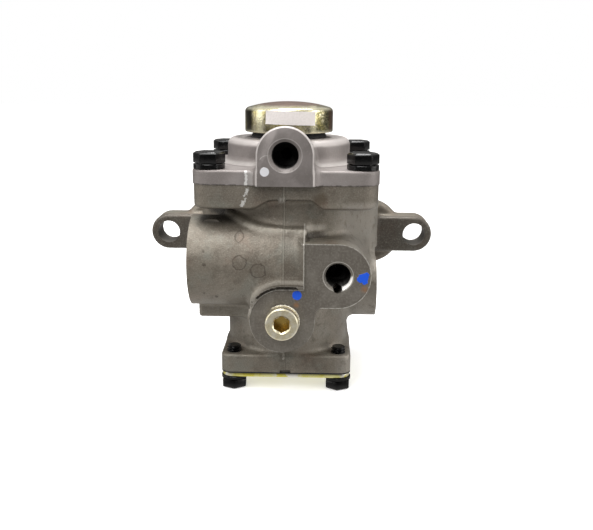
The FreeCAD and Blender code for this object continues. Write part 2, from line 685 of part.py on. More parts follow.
def make_cover_screws():
    """Four hexagon screws that hold the cover."""
    screws = []
    for x, y in four_corners(COVER_SCREW_HALF):
        head = hex_head(COVER_HEAD_AF, COVER_HEAD_LOW_Z, COVER_HEAD_LOW_Z + COVER_HEAD_H, x, y, True, 0.0)
        shank = post(COVER_SCREW_R, COVER_HEAD_LOW_Z - COVER_SCREW_LENGTH, COVER_HEAD_LOW_Z, x, y)
        screws.append(head.fuse(shank).removeSplitter())
    return Part.makeCompound(screws)


def make_base_screws():
    """Four hexagon screws that hold the base plate, their tips just through the flange."""
    screws = []
    for x, y in four_corners(BASE_SCREW_HALF):
        head = hex_head(BASE_HEAD_AF, BASE_HEAD_TOP_Z - BASE_HEAD_H, BASE_HEAD_TOP_Z, x, y, False,
                        BASE_HEAD_TURN_DEG)
        shank = post(BASE_SCREW_R, BASE_HEAD_TOP_Z, BASE_TOP_Z + BASE_SCREW_TIP, x, y)
        screws.append(head.fuse(shank).removeSplitter())
    return Part.makeCompound(screws)


def split_washer(outer, hole, low, high, x, y, turn_deg):
    """A spring washer with its cut."""
    ring = post(outer, low, high, x, y).cut(post(hole, low, high, x, y))
    angle = math.radians(turn_deg)
    slot = Part.makeBox(outer, WASHER_SPLIT, high - low, FreeCAD.Vector(0, -WASHER_SPLIT / 2, low))
    slot.rotate(FreeCAD.Vector(0, 0, 0), UP, math.degrees(angle))
    slot.translate(FreeCAD.Vector(x, AXIS_Y + y, 0))
    return ring.cut(slot)


def washer_set(half, outer, hole, low, high):
    """Four spring washers, each with its cut turned a different way."""
    washers = []
    for index, (x, y) in enumerate(four_corners(half)):
        washers.append(split_washer(outer, hole, low, high, x, y, 40 + 75 * index))
    return Part.makeCompound(washers)


def make_cover_washers():
    """The spring washers under the cover screws."""
    return washer_set(COVER_SCREW_HALF, COVER_WASHER_R, COVER_SCREW_R + THREAD_CLEARANCE,
                      COVER_TOP_Z, COVER_HEAD_LOW_Z)


def make_base_washers():
    """The spring washers on the base screws."""
    return washer_set(BASE_SCREW_HALF, BASE_WASHER_R, BASE_SCREW_R + THREAD_CLEARANCE,
                      BASE_HEAD_TOP_Z, PLATE_LOW_Z)


def make_pipe_plug():
    """The hexagon socket plug that closes the lower front port."""
    front = -PORT_FACE - PLUG_PROUD
    head = rod_back(PLUG_HEAD_R, PLUG_PORT_X, PLUG_PORT_Z, front, -PORT_FACE)
    rim = [edge for edge in head.Edges if edge.BoundBox.YMax < AXIS_Y + front + 0.1]
    head = head.makeChamfer(PLUG_CHAMFER, rim)
    thread = rod_back(PORT_BORE_R - SEAT_FIT, PLUG_PORT_X, PLUG_PORT_Z, -PORT_FACE,
                      -PORT_FACE + PLUG_ENGAGED)
    across_corners = PLUG_SOCKET_AF / math.cos(math.pi / 6)
    corners = []
    for index in range(7):
        angle = math.radians(60 * index + 30)
        corners.append(point(PLUG_PORT_X + across_corners / 2 * math.cos(angle), front - OVERLAP,
                             PLUG_PORT_Z + across_corners / 2 * math.sin(angle)))
    socket = Part.Face(Part.makePolygon(corners)).extrude(BACK * (PLUG_SOCKET_DEPTH + OVERLAP))
    return head.fuse(thread).cut(socket).removeSplitter()


# Top cap

def make_top_cap():
    """The pressed steel cap, a thin shell with a rounded shoulder and a low dome."""
    outer = cap_form(CAP_R, CAP_WALL_TOP_Z, CAP_TOP_Z, CAP_LOW_Z)
    inner = cap_form(CAP_R - CAP_T, CAP_WALL_TOP_Z, CAP_TOP_Z - CAP_T, CAP_LOW_Z - OVERLAP)
    return outer.cut(inner)


def cap_form(radius, wall_top, dome_top, low):
    """A closed solid with the cap's form: a drum whose top is part of a ball."""
    rise = dome_top - wall_top
    ball_r = (radius * radius + rise * rise) / (2 * rise)
    ball = Part.makeSphere(ball_r, point(0, 0, dome_top - ball_r))
    drum = post(radius, low, dome_top).common(ball)
    shoulder = [edge for edge in drum.Edges
                if is_circle(edge) and abs(edge.CenterOfMass.z - wall_top) < 0.2]
    return drum.makeFillet(CAP_SHOULDER_R, shoulder)


def make_neck_seal():
    """The black rubber neck between cover and cap, its upper part gripping the cap's inside."""
    grip_low = CAP_LOW_Z + CAP_T / 2
    grip_r = CAP_R - CAP_T - SEAT_FIT
    solid = turned([
        (SPIGOT_R + SEAT_FIT, DOME_TOP_Z), (NECK_SEAL_R + NECK_SEAL_FLARE, DOME_TOP_Z),
        (NECK_SEAL_R, grip_low), (grip_r, grip_low), (grip_r, grip_low + NECK_SEAL_GRIP_H),
        (SPIGOT_R + SEAT_FIT, grip_low + NECK_SEAL_GRIP_H),
    ])
    return solid


def make_blank_label():
    """The small blank sticker on the front of the cap, set a little crooked."""
    low = CAP_LOW_Z + LABEL_LOW
    skin = ring_groove(CAP_R + LABEL_T, CAP_R, low - LABEL_H, low + 2 * LABEL_H)
    stencil = Part.makeBox(LABEL_W, CAP_R, LABEL_H, FreeCAD.Vector(-LABEL_W / 2, -CAP_R - OVERLAP, 0))
    stencil.rotate(FreeCAD.Vector(0, 0, LABEL_H / 2), BACK, LABEL_TILT_DEG)
    stencil.translate(point(LABEL_SHIFT, 0, low))
    return skin.common(stencil)


# Base

def make_base_gasket():
    """The thin black gasket under the base flange."""
    sheet = rounded_square(BASE_HALF, BASE_CORNER_R, PLATE_TOP_Z, BASE_Z)
    cuts = [post(BASE_HALF - GASKET_BAND, PLATE_TOP_Z - OVERLAP, BASE_Z + OVERLAP)]
    for x, y in four_corners(BASE_SCREW_HALF):
        cuts.append(post(BASE_SCREW_R + HOLE_CLEARANCE, PLATE_TOP_Z - OVERLAP, BASE_Z + OVERLAP, x, y))
    return sheet.cut(cuts)


def make_base_plate():
    """The plated steel plate that closes the base, with a ring of exhaust holes."""
    sheet = rounded_square(BASE_HALF - PLATE_INSET, BASE_CORNER_R, PLATE_LOW_Z, PLATE_TOP_Z)
    cuts = [post(RIVET_R + SEAT_FIT, PLATE_LOW_Z - OVERLAP, PLATE_TOP_Z + OVERLAP)]
    for index in range(EXHAUST_HOLE_COUNT):
        angle = 2 * math.pi * index / EXHAUST_HOLE_COUNT
        cuts.append(post(EXHAUST_HOLE_R, PLATE_LOW_Z - OVERLAP, PLATE_TOP_Z + OVERLAP,
                         EXHAUST_HOLE_PITCH_R * math.cos(angle), EXHAUST_HOLE_PITCH_R * math.sin(angle)))
    for x, y in four_corners(BASE_SCREW_HALF):
        cuts.append(post(BASE_SCREW_R + HOLE_CLEARANCE, PLATE_LOW_Z - OVERLAP, PLATE_TOP_Z + OVERLAP, x, y))
    return sheet.cut(cuts)


def make_exhaust_flap():
    """The rubber flap that keeps dirt out of the exhaust holes."""
    low = PLATE_LOW_Z - FLAP_T
    return ring_groove(FLAP_R, RIVET_R + SEAT_FIT, low, PLATE_LOW_Z)


def make_flap_washer():
    """The small washer that holds the flap against the plate."""
    high = PLATE_LOW_Z - FLAP_T
    return ring_groove(FLAP_WASHER_R, RIVET_R + SEAT_FIT, high - FLAP_WASHER_T, high)


def make_flap_rivet():
    """The rivet through plate, flap and washer."""
    low = PLATE_LOW_Z - FLAP_T - FLAP_WASHER_T
    return turned([
        (0, low - RIVET_HEAD_H), (RIVET_HEAD_R * 0.6, low - RIVET_HEAD_H),
        (RIVET_HEAD_R, low - RIVET_HEAD_H / 3), (RIVET_HEAD_R, low), (RIVET_R, low),
        (RIVET_R, PLATE_TOP_Z), (RIVET_HEAD_R, PLATE_TOP_Z),
        (RIVET_HEAD_R * 0.6, PLATE_TOP_Z + RIVET_HEAD_H), (0, PLATE_TOP_Z + RIVET_HEAD_H),
    ])


# Relay piston

def make_relay_piston():
    """The piston that the control air pushes down, with its long stem and exhaust seat."""
    outer = PISTON_BORE_R - RUNNING_FIT
    ring_mid = (PISTON_HEAD_TOP_Z + PISTON_HEAD_LOW_Z) / 2
    ring_r = outer - PISTON_RING_D
    stem_waist_z = STEM_END_Z + PISTON_FOOT_H + (PISTON_FOOT_R - PISTON_STEM_R)
    return turned([
        (0, STEM_END_Z + PISTON_UNDERCUT), (PISTON_FOOT_R - PISTON_FOOT_LAND, STEM_END_Z + PISTON_UNDERCUT),
        (PISTON_FOOT_R - PISTON_FOOT_LAND, STEM_END_Z), (PISTON_FOOT_R, STEM_END_Z),
        (PISTON_FOOT_R, STEM_END_Z + PISTON_FOOT_H), (PISTON_STEM_R, stem_waist_z),
        (PISTON_STEM_R, PISTON_HEAD_LOW_Z), (outer, PISTON_HEAD_LOW_Z),
        (outer, ring_mid - PISTON_RING_W / 2), (ring_r, ring_mid - PISTON_RING_W / 2),
        (ring_r, ring_mid + PISTON_RING_W / 2), (outer, ring_mid + PISTON_RING_W / 2),
        (outer, PISTON_TOP_Z), (outer - PISTON_RIM_W, PISTON_TOP_Z),
        (outer - PISTON_RIM_W, PISTON_HEAD_TOP_Z), (0, PISTON_HEAD_TOP_Z),
    ])


def make_piston_ring():
    """The rubber ring in the piston's groove."""
    ring_mid = (PISTON_HEAD_TOP_Z + PISTON_HEAD_LOW_Z) / 2
    outer = PISTON_BORE_R - RUNNING_FIT
    section = PISTON_RING_D / 2
    return Part.makeTorus(outer - section, section, point(0, 0, ring_mid), UP)


def make_piston_spring():
    """The spring between the web and the piston, which lifts the piston back."""
    return coil(PISTON_SPRING_R, PISTON_SPRING_WIRE, WEB_TOP_Z, PISTON_HEAD_LOW_Z, PISTON_SPRING_TURNS)


# Inlet and exhaust valve

def make_valve_stem():
    """The hollow stem whose flange carries the rubber disc."""
    return turned([
        (VALVE_BORE_R, STEM_FOOT_Z), (VALVE_TUBE_R, STEM_FOOT_Z), (VALVE_TUBE_R, VALVE_FLANGE_LOW_Z),
        (VALVE_DISC_R, VALVE_FLANGE_LOW_Z), (VALVE_DISC_R, DISC_LOW_Z), (VALVE_BORE_R, DISC_LOW_Z),
    ])


def make_valve_disc():
    """The rubber disc that closes on both the inlet seat and the piston's foot."""
    return ring_groove(VALVE_DISC_R, VALVE_BORE_R, DISC_LOW_Z, DISC_TOP_Z)


def make_spring_seat():
    """The thin steel washer on which the valve spring turns in the guide's pocket."""
    return ring_groove(VALVE_SPRING_R + VALVE_SPRING_WIRE, GUIDE_HUB_R + RING_CLEARANCE,
                       POCKET_LOW_Z, POCKET_LOW_Z + SPRING_SEAT_T)


def make_valve_spring():
    """The spring that presses the valve up against its seat."""
    return coil(VALVE_SPRING_R, VALVE_SPRING_WIRE, POCKET_LOW_Z + SPRING_SEAT_T, VALVE_FLANGE_LOW_Z,
                VALVE_SPRING_TURNS)


def make_valve_guide():
    """The guide that fills the lower bore and carries the hollow stem."""
    outer = GUIDE_R - SEAT_FIT
    hole = VALVE_TUBE_R + RUNNING_FIT
    pocket_r = VALVE_SPRING_R + VALVE_SPRING_WIRE + RING_CLEARANCE
    body = post(outer, BASE_Z, GUIDE_TOP_Z).fuse(post(GUIDE_HUB_R, GUIDE_TOP_Z, HUB_TOP_Z))
    outer_mid = guide_ring_z()
    inner_mid = stem_ring_z()
    cuts = [
        post(hole, BASE_Z - OVERLAP, HUB_TOP_Z + OVERLAP),
        ring_groove(pocket_r, GUIDE_HUB_R, POCKET_LOW_Z, GUIDE_TOP_Z + OVERLAP),
        post(GUIDE_VENT_R, BASE_Z - OVERLAP, BASE_Z + GUIDE_VENT_H),
        ring_groove(outer + OVERLAP, outer - GUIDE_RING_D, outer_mid - GUIDE_RING_W / 2,
                    outer_mid + GUIDE_RING_W / 2),
        post(hole + STEM_RING_D, inner_mid - STEM_RING_W / 2, inner_mid + STEM_RING_W / 2),
    ]
    return body.cut(cuts).removeSplitter()


def guide_ring_z():
    """The height of the ring around the guide."""
    return BASE_Z + GUIDE_H / 2


def stem_ring_z():
    """The height of the ring around the hollow stem."""
    return (HUB_TOP_Z + BASE_Z + GUIDE_VENT_H) / 2


def make_guide_ring():
    """The rubber ring that seals the guide in the body."""
    section = GUIDE_RING_D / 2
    return Part.makeTorus(GUIDE_R - SEAT_FIT - section, section, point(0, 0, guide_ring_z()), UP)


def make_stem_ring():
    """The rubber ring that seals the hollow stem in its guide."""
    section = STEM_RING_D / 2
    return Part.makeTorus(VALVE_TUBE_R + RUNNING_FIT + section, section, point(0, 0, stem_ring_z()), UP)


PIECES = {
    "body": make_body,
    "cover": make_cover,
    "cover_seal_ring": make_cover_seal,
    "cover_screws": make_cover_screws,
    "cover_lock_washers": make_cover_washers,
    "top_cap": make_top_cap,
    "cap_neck_seal": make_neck_seal,
    "blank_label": make_blank_label,
    "pipe_plug": make_pipe_plug,
    "base_gasket": make_base_gasket,
    "base_plate": make_base_plate,
    "base_screws": make_base_screws,
    "base_lock_washers": make_base_washers,
    "exhaust_flap": make_exhaust_flap,
    "flap_washer": make_flap_washer,
    "flap_rivet": make_flap_rivet,
    "relay_piston": make_relay_piston,
    "piston_seal_ring": make_piston_ring,
    "piston_return_spring": make_piston_spring,
    "valve_stem": make_valve_stem,
    "valve_disc": make_valve_disc,
    "valve_spring": make_valve_spring,
    "valve_spring_seat": make_spring_seat,
    "valve_guide": make_valve_guide,
    "guide_seal_ring": make_guide_ring,
    "stem_seal_ring": make_stem_ring,
}


os.makedirs("parts", exist_ok=True)
for name, make in PIECES.items():
    shape = make()
    shape.exportStep("parts/" + name + ".step")
    print(name, len(shape.Solids), shape.isValid(), round(shape.Volume, 1))
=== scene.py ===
import math

import bmesh
import bpy
import numpy as np
from mathutils import Matrix, Vector


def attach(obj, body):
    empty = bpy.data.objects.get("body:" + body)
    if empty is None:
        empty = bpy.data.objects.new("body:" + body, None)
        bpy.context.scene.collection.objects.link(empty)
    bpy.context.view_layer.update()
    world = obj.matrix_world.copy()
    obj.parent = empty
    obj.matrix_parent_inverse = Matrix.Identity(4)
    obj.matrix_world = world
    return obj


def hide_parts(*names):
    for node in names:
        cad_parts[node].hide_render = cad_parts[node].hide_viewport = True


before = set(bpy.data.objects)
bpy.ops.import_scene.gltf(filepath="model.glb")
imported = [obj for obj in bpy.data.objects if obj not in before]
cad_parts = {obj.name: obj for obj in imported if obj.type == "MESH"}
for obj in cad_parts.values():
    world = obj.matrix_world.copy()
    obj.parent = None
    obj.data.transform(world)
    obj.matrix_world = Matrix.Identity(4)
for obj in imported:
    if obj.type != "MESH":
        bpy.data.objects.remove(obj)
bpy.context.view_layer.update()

# Body casting: one piece of die-cast aluminium, left with its cast skin and then machined.
# Every length is in millimetres from the valve's upright axis, with z measured from the ear holes.
# The skin is a distance field of the bosses with their fillets, and machined faces and bores are cut into it.
AXIS_TO_FACE = 54.0
JOINT_Z = 40.8
BASE_Z = -63.0
PORT_FACE = 50.0
BARREL_R = 38.5
NECK_R = 34.0
FLANGE_HALF = 47.2
FLANGE_LOW_Z = 32.9
LUG_DROP = 4.5
FLANK_HALF = 51.0
FLANK_CORNER_R = 14.0
FLANK_FRONT = 14.0
PLATE_FRONT = 37.0
PAD_X = 48.1
PAD_Z = 0.2
PAD_FRONT = 42.0
PAD_R = 19.5
EAR_X = 75.4
EAR_R = 10.8
SUPPLY_R = 24.0
SUPPLY_Y = -27.5
SUPPLY_Z = -2.0
SUPPLY_END = -50.0
SUPPLY_INNER_END = 9.7
PORT_R = 16.8
FRONT_PORT = (27.2, -5.1)
PLUG_PORT = (-1.3, -29.2)
SIDE_PORT_Z = -22.7
SIDE_PORT_END = 49.6
LIP_R = 17.1
LIP_RISE = 3.5
LIP_THICK = 2.1
BASE_HALF = 35.3
BASE_TOP_Z = -53.0
PLUG_PAD = 17.0
SCREW_AT = 38.9
BASE_SCREW_AT = 28.5
PIPE_PITCH = 1.41
CORNERS = [(-1, -1), (-1, 1), (1, -1), (1, 1)]
RIDGE = [(-31.4, -24.9, 23.6), (-26.4, -31.3, 22.1), (-20.1, -37.6, 19.6), (-11.1, -41.2, 17.6),
         (-0.2, -42.3, 16.8), (9.2, -42.3, 16.6)]


def span(value, low, high):
    """Distance to a slab between two limits."""
    return np.abs(value - (low + high) / 2) - (high - low) / 2


def shared(first, second, edge):
    """What two forms have in common, its outer edge rounded to that radius."""
    return np.minimum(-edge, np.maximum(first, second)) + np.hypot(
        np.maximum(edge + first, 0), np.maximum(edge + second, 0))


def grown(first, second, fillet):
    """Two forms run together with a hollow fillet of that radius."""
    return np.maximum(fillet, np.minimum(first, second)) - np.hypot(
        np.maximum(fillet - first, 0), np.maximum(fillet - second, 0))


def panel(across, along, half_across, half_along, corner):
    """Distance to a flat rectangle with round corners about the origin."""
    out_a = np.abs(across) - half_across + corner
    out_b = np.abs(along) - half_along + corner
    return np.minimum(np.maximum(out_a, out_b), 0) + np.hypot(
        np.maximum(out_a, 0), np.maximum(out_b, 0)) - corner


def rise(value, low, high):
    """A smooth step from 0 to 1 between two limits."""
    part = np.clip((value - low) / (high - low), 0, 1)
    return part * part * (3 - 2 * part)


def shoulder_outline(x, y):
    """Plan of the shoulders: the barrel drawn out to two round corners and back to the plate."""
    q = np.abs(x)
    length = math.hypot(FLANK_HALF - FLANK_CORNER_R, FLANK_FRONT)
    run_x = (FLANK_HALF - FLANK_CORNER_R) / length
    run_y = FLANK_FRONT / length
    along = q * run_x + y * run_y
    across = np.abs(q * run_y - y * run_x)
    lean = (BARREL_R - FLANK_CORNER_R) / length
    level = math.sqrt(1 - lean * lean)
    place = along * level - across * lean
    side = across * level + along * lean - BARREL_R
    corner = np.hypot(along - length, across) - FLANK_CORNER_R
    hull = np.where(place < 0, np.hypot(along, across) - BARREL_R,
                    np.where(place > level * length, corner, side))
    box = panel(x, y - FLANK_FRONT - 14, FLANK_HALF, 14, 0)
    return np.minimum(hull, box)


def port_outline(x, z):
    """Front view of the two joined port bosses, with the hollow corner between them."""
    px, pz = FRONT_PORT
    front = np.hypot(x - np.clip(x, 4, px), z - pz) - PORT_R
    front = np.maximum(front, SUPPLY_INNER_END - 1.2 - x)
    px, pz = PLUG_PORT
    plug = np.hypot(x - px, z - pz) - PORT_R
    bridge = panel(x - px - PORT_R / 2, z - pz - PORT_R / 2, PORT_R / 2, PORT_R / 2, 0)
    return grown(front, np.minimum(plug, bridge), 4)


def body_skin(x, y, z):
    """Distance to the cast skin of the body."""
    radius = NECK_R + (BARREL_R - NECK_R) * rise(z, -22, -8)
    form = shared(np.hypot(x, y) - radius, span(z, BASE_Z - 1, JOINT_Z + 1.2), 0.5)
    shoulders = shared(shoulder_outline(x, y), span(z, -9, JOINT_Z - 4), 3)
    form = grown(form, shoulders, 3)
    side = np.where(y < 0, np.where(x < 0, rise(-x, 6, 18), rise(x, 12, 20)), rise(np.abs(x), 8.5, 17))
    lug = side * rise(np.abs(y), 8.5, 17)
    lug_low = FLANGE_LOW_Z - LUG_DROP * lug
    flange = shared(panel(x, y, FLANGE_HALF, FLANGE_HALF, 10), span(z, lug_low, JOINT_Z + 2), 2.0)
    form = grown(form, flange, 3.5)
    pads = np.hypot(x - np.clip(x, -PAD_X, PAD_X), z - PAD_Z) - PAD_R
    pads = shared(pads, span(y, PAD_FRONT, AXIS_TO_FACE + 1), 3.5)
    ears = np.hypot(x - np.clip(x, -EAR_X, EAR_X), z) - EAR_R
    ears = shared(ears, span(y, PLATE_FRONT, AXIS_TO_FACE + 1), 2.0)
    middle = np.maximum(np.abs(x) - PAD_X, np.abs(z - PAD_Z) - PAD_R)
    middle = shared(middle, span(y, PLATE_FRONT, AXIS_TO_FACE + 1), 1.5)
    form = grown(form, grown(np.minimum(pads, middle), ears, 2), 4)
    supply = shared(np.hypot(y - SUPPLY_Y, z - SUPPLY_Z) - SUPPLY_R,
                    span(x, SUPPLY_END - 1, SUPPLY_INNER_END + 0.8), 1.2)
    form = grown(form, supply, 4.5)
    ledge = shared(panel(x + 24, y + 14.5, 24, 12.5, 2.5), span(z, -34.5, SUPPLY_Z), 1.2)
    form = grown(form, ledge, 2.5)
    ridge = 99.0
    for start, end in zip(np.array(RIDGE), np.array(RIDGE[1:])):
        run = end - start
        part = ((x - start[0]) * run[0] + (y - start[1]) * run[1] + (z - start[2]) * run[2]) / (run @ run)
        part = np.clip(part, 0, 1)
        off = np.hypot(x - start[0] - part * run[0], y - start[1] - part * run[1])
        ridge = np.minimum(ridge, np.hypot(off, z - start[2] - part * run[2]))
    form = grown(form, ridge - 1.1, 3)
    side_boss = shared(np.hypot(y, z - SIDE_PORT_Z) - PORT_R, span(x, 0, SIDE_PORT_END + 1), 1.2)
    form = grown(form, side_boss, 4)
    draft = 0.02 * (y + PORT_FACE)
    bosses = shared(port_outline(x, z) - draft, span(y, -PORT_FACE - 0.8, 0), 0.4)
    form = grown(form, bosses, 3.5)
    px, pz = PLUG_PORT
    reach = np.hypot(x - np.clip(x, px, 30), z - pz - LIP_RISE) - LIP_R
    thick = LIP_THICK * rise(z, pz + 6, pz + 16)
    lip = np.hypot(reach, np.maximum(LIP_THICK - PORT_FACE - 1.8 - y, 0) + np.maximum(y + 42, 0)) - thick
    lip = shared(lip, np.maximum(pz + 1 - z, x - SUPPLY_INNER_END - 0.4), 0.4)
    form = grown(form, lip, 3.0)
    pocket = np.hypot(x - np.clip(x, px, 30), z - pz) - 18.0
    groove = np.hypot(pocket, y + PORT_FACE + 0.3) - 0.85 * rise(z, pz + 8, pz + 15)
    groove = np.maximum(groove, x - SUPPLY_INNER_END + 0.3)
    form = shared(form, -groove, 0.3)
    base = shared(panel(x, y, BASE_HALF, BASE_HALF, 6), span(z, BASE_Z - 1, BASE_TOP_Z), 1.6)
    form = grown(form, base, 3)
    flash = shared(panel(x + 1.7, z - 33.2, 1.7, 1.3, 0.4), span(y, -FLANGE_HALF - 0.25, -42), 0.3)
    return np.minimum(form, flash)


def cast_form(name, skin, low, high, step, keep):
    """Mesh of a skin: one point in each grid cell that it passes, drawn onto the skin and evened out."""
    low = np.array(low, float)
    axes = [np.arange(a, b + step, step) for a, b in zip(low, high)]
    inside = skin(axes[0][:, None, None], axes[1][None, :, None], axes[2][None, None, :]) < 0
    size = np.array(inside.shape)
    count = np.zeros(size - 1, np.int8)
    for corner in np.ndindex(2, 2, 2):
        window = tuple(slice(c, c + n - 1) for c, n in zip(corner, size))
        count += inside[window]
    mixed = (count > 0) & (count < 8)
    number = np.full(mixed.shape, -1, np.int32)
    number[mixed] = np.arange(mixed.sum())
    points = low + (np.argwhere(mixed) + 0.5) * step
    quads = []
    for axis in range(3):
        start = [slice(None)] * 3
        end = [slice(None)] * 3
        start[axis] = slice(0, -1)
        end[axis] = slice(1, None)
        edges = np.argwhere(inside[tuple(start)] != inside[tuple(end)])
        unit = np.eye(3, dtype=int)
        second, third = unit[(axis + 1) % 3], unit[(axis + 2) % 3]
        ring = [edges, edges - second, edges - second - third, edges - third]
        quad = np.stack([number[tuple(cell.T)] for cell in ring], axis=1)
        facing = inside[tuple(edges.T)]
        quads.append(np.where(facing[:, None], quad, quad[:, ::-1]))
    quads = np.concatenate(quads)
    ends = np.concatenate([quads[:, [0, 1]], quads[:, [1, 2]], quads[:, [2, 3]], quads[:, [3, 0]]])
    degree = np.bincount(ends.ravel(), minlength=len(points))[:, None]
    for turn in range(6):
        if turn in (2, 3):
            total = np.zeros_like(points)
            for column in range(3):
                total[:, column] = (np.bincount(ends[:, 0], points[ends[:, 1], column], len(points))
                                    + np.bincount(ends[:, 1], points[ends[:, 0], column], len(points)))
            points = 0.5 * points + 0.5 * total / degree
        value = skin(*points.T)
        slope = np.stack([skin(*(points + 0.03 * unit[a]).T) - skin(*(points - 0.03 * unit[a]).T)
                          for a in range(3)], axis=1) / 0.06
        steep = np.maximum((slope * slope).sum(1), 0.2)
        points = points - slope * np.clip(value / steep, -step, step)[:, None]
    made = new_piece(name, points, quads.tolist())
    thin = made.modifiers.new("thin", "DECIMATE")
    thin.ratio = keep
    return settled(made)


def new_piece(name, points, faces):
    """An object from points in millimetres about the valve's axis."""
    mesh = bpy.data.meshes.new(name)
    place = (np.array(points, float) - (0, AXIS_TO_FACE, 0)) / 1000
    mesh.from_pydata(place.tolist(), [], faces)
    mesh.validate()
    made = bpy.data.objects.new(name, mesh)
    bpy.context.scene.collection.objects.link(made)
    return made


def settled(made):
    """The object with its modifiers made part of its mesh."""
    seen = made.evaluated_get(bpy.context.evaluated_depsgraph_get())
    mesh = bpy.data.meshes.new_from_object(seen)
    old = made.data
    made.modifiers.clear()
    made.data = mesh
    mesh.name = made.name
    bpy.data.meshes.remove(old)
    return made


def tube_faces(rows, around, closed=False):
    """Faces of a tube whose points lie ring by ring."""
    faces = []
    for row in range(rows if closed else rows - 1):
        here, after = row * around, (row + 1) % rows * around
        for turn in range(around):
            then = (turn + 1) % around
            faces.append((here + turn, here + then, after + then, after + turn))
    return faces


def end_faces(rows, around):
    """Flat faces over both ends of such a tube."""
    return [tuple(range(around)), tuple(range((rows - 1) * around, rows * around))]


def turned_form(name, outline, centre=(0, 0, 0), axis="z", around=96, closed=False):
    """A form of revolution from radius and height pairs, about z, or about x or y through a centre."""
    angles = np.arange(around) * 2 * math.pi / around
    outline = np.array(outline, float)
    radius, height = outline[:, 0][:, None], outline[:, 1][:, None]
    first, second, third = radius * np.cos(angles), radius * np.sin(angles), height + 0 * angles
    order = {"z": (first, second, third), "x": (third, first, second), "y": (second, third, first)}
    points = np.stack(order[axis], axis=2).reshape(-1, 3) + np.array(centre, float)
    return mended(new_piece(name, points, tube_faces(len(outline), around, closed)))


def mended(made):
    """Doubled points joined and every face turned outwards."""
    mesh = bmesh.new()
    mesh.from_mesh(made.data)
    bmesh.ops.remove_doubles(mesh, verts=mesh.verts, dist=1e-7)
    bmesh.ops.dissolve_degenerate(mesh, edges=mesh.edges, dist=1e-7)
    bmesh.ops.recalc_face_normals(mesh, faces=mesh.faces)
    mesh.to_mesh(made.data)
    mesh.free()
    return made


def thread_form(name, centre, axis, direction, minor, depth, pitch, length, around=72):
    """A tapped hole's shape: a rod with a screw thread on it that fades out at its inner end."""
    rows = int(length / pitch * 8)
    heights = np.linspace(-1.0, length, rows)
    angles = np.arange(around) * 2 * math.pi / around
    phase = heights[:, None] / pitch - angles[None, :] / (2 * math.pi)
    tooth = np.abs((phase % 1) * 2 - 1)
    tooth = np.clip(tooth * 1.3 - 0.15, 0, 1)
    radius = minor + depth * tooth * (1 - 0.35 * rise(heights, length * 0.4, length))[:, None]
    radius[0] = minor + depth
    radius[-1] = minor
    along = direction * heights[:, None] + 0 * angles
    first, second = radius * np.cos(angles), radius * np.sin(angles)
    order = {"x": (along, first, second), "y": (second, along, first)}
    points = np.stack(order[axis], axis=2).reshape(-1, 3) + np.array(centre, float)
    tip = np.array(centre, float)
    tip["xyz".index(axis)] += direction * (length + minor * 0.5)
    mouth = np.array(centre, float)
    mouth["xyz".index(axis)] -= direction
    points = np.concatenate([points, [mouth, tip]])
    faces = tube_faces(rows, around)
    last = (rows - 1) * around
    for turn in range(around):
        then = (turn + 1) % around
        faces.append((turn, then, rows * around))
        faces.append((last + turn, last + then, rows * around + 1))
    return mended(new_piece(name, points, faces))


def box_form(name, low, high):
    """A plain block, used as a cutter."""
    corners = [(x, y, z) for x in (low[0], high[0]) for y in (low[1], high[1]) for z in (low[2], high[2])]
    faces = [(0, 1, 3, 2), (4, 6, 7, 5), (0, 4, 5, 1), (2, 3, 7, 6), (0, 2, 6, 4), (1, 5, 7, 3)]
    return mended(new_piece(name, corners, faces))


def drill_form(name, start, end, radius, around=40):
    """A straight round hole between two points."""
    start, end = np.array(start, float), np.array(end, float)
    run = end - start
    length = np.linalg.norm(run)
    run = run / length
    side = np.cross(run, (0.31, 0.52, 0.79))
    side = side / np.linalg.norm(side)
    third = np.cross(run, side)
    angles = np.arange(around) * 2 * math.pi / around
    ring = radius * (np.cos(angles)[:, None] * side + np.sin(angles)[:, None] * third)
    points = np.concatenate([start + ring, end + ring])
    ends = [tuple(range(around)), tuple(range(2 * around - 1, around - 1, -1))]
    return mended(new_piece(name, points, ends + tube_faces(2, around)))


def combined(made, others, operation="DIFFERENCE"):
    """The object with the others cut from it, or joined to it."""
    for other in others:
        step = made.modifiers.new(other.name, "BOOLEAN")
        step.object = other
        step.operation = operation
        step.solver = "MANIFOLD"
    settled(made)
    for other in others:
        mesh = other.data
        bpy.data.objects.remove(other)
        bpy.data.meshes.remove(mesh)
    return made


def shaded(made, angle_deg=34):
    """Smooth shading that stays crisp at edges steeper than the angle."""
    mesh = made.data
    mesh.shade_smooth()
    mesh.set_sharp_from_angle(angle=math.radians(angle_deg))
    return made


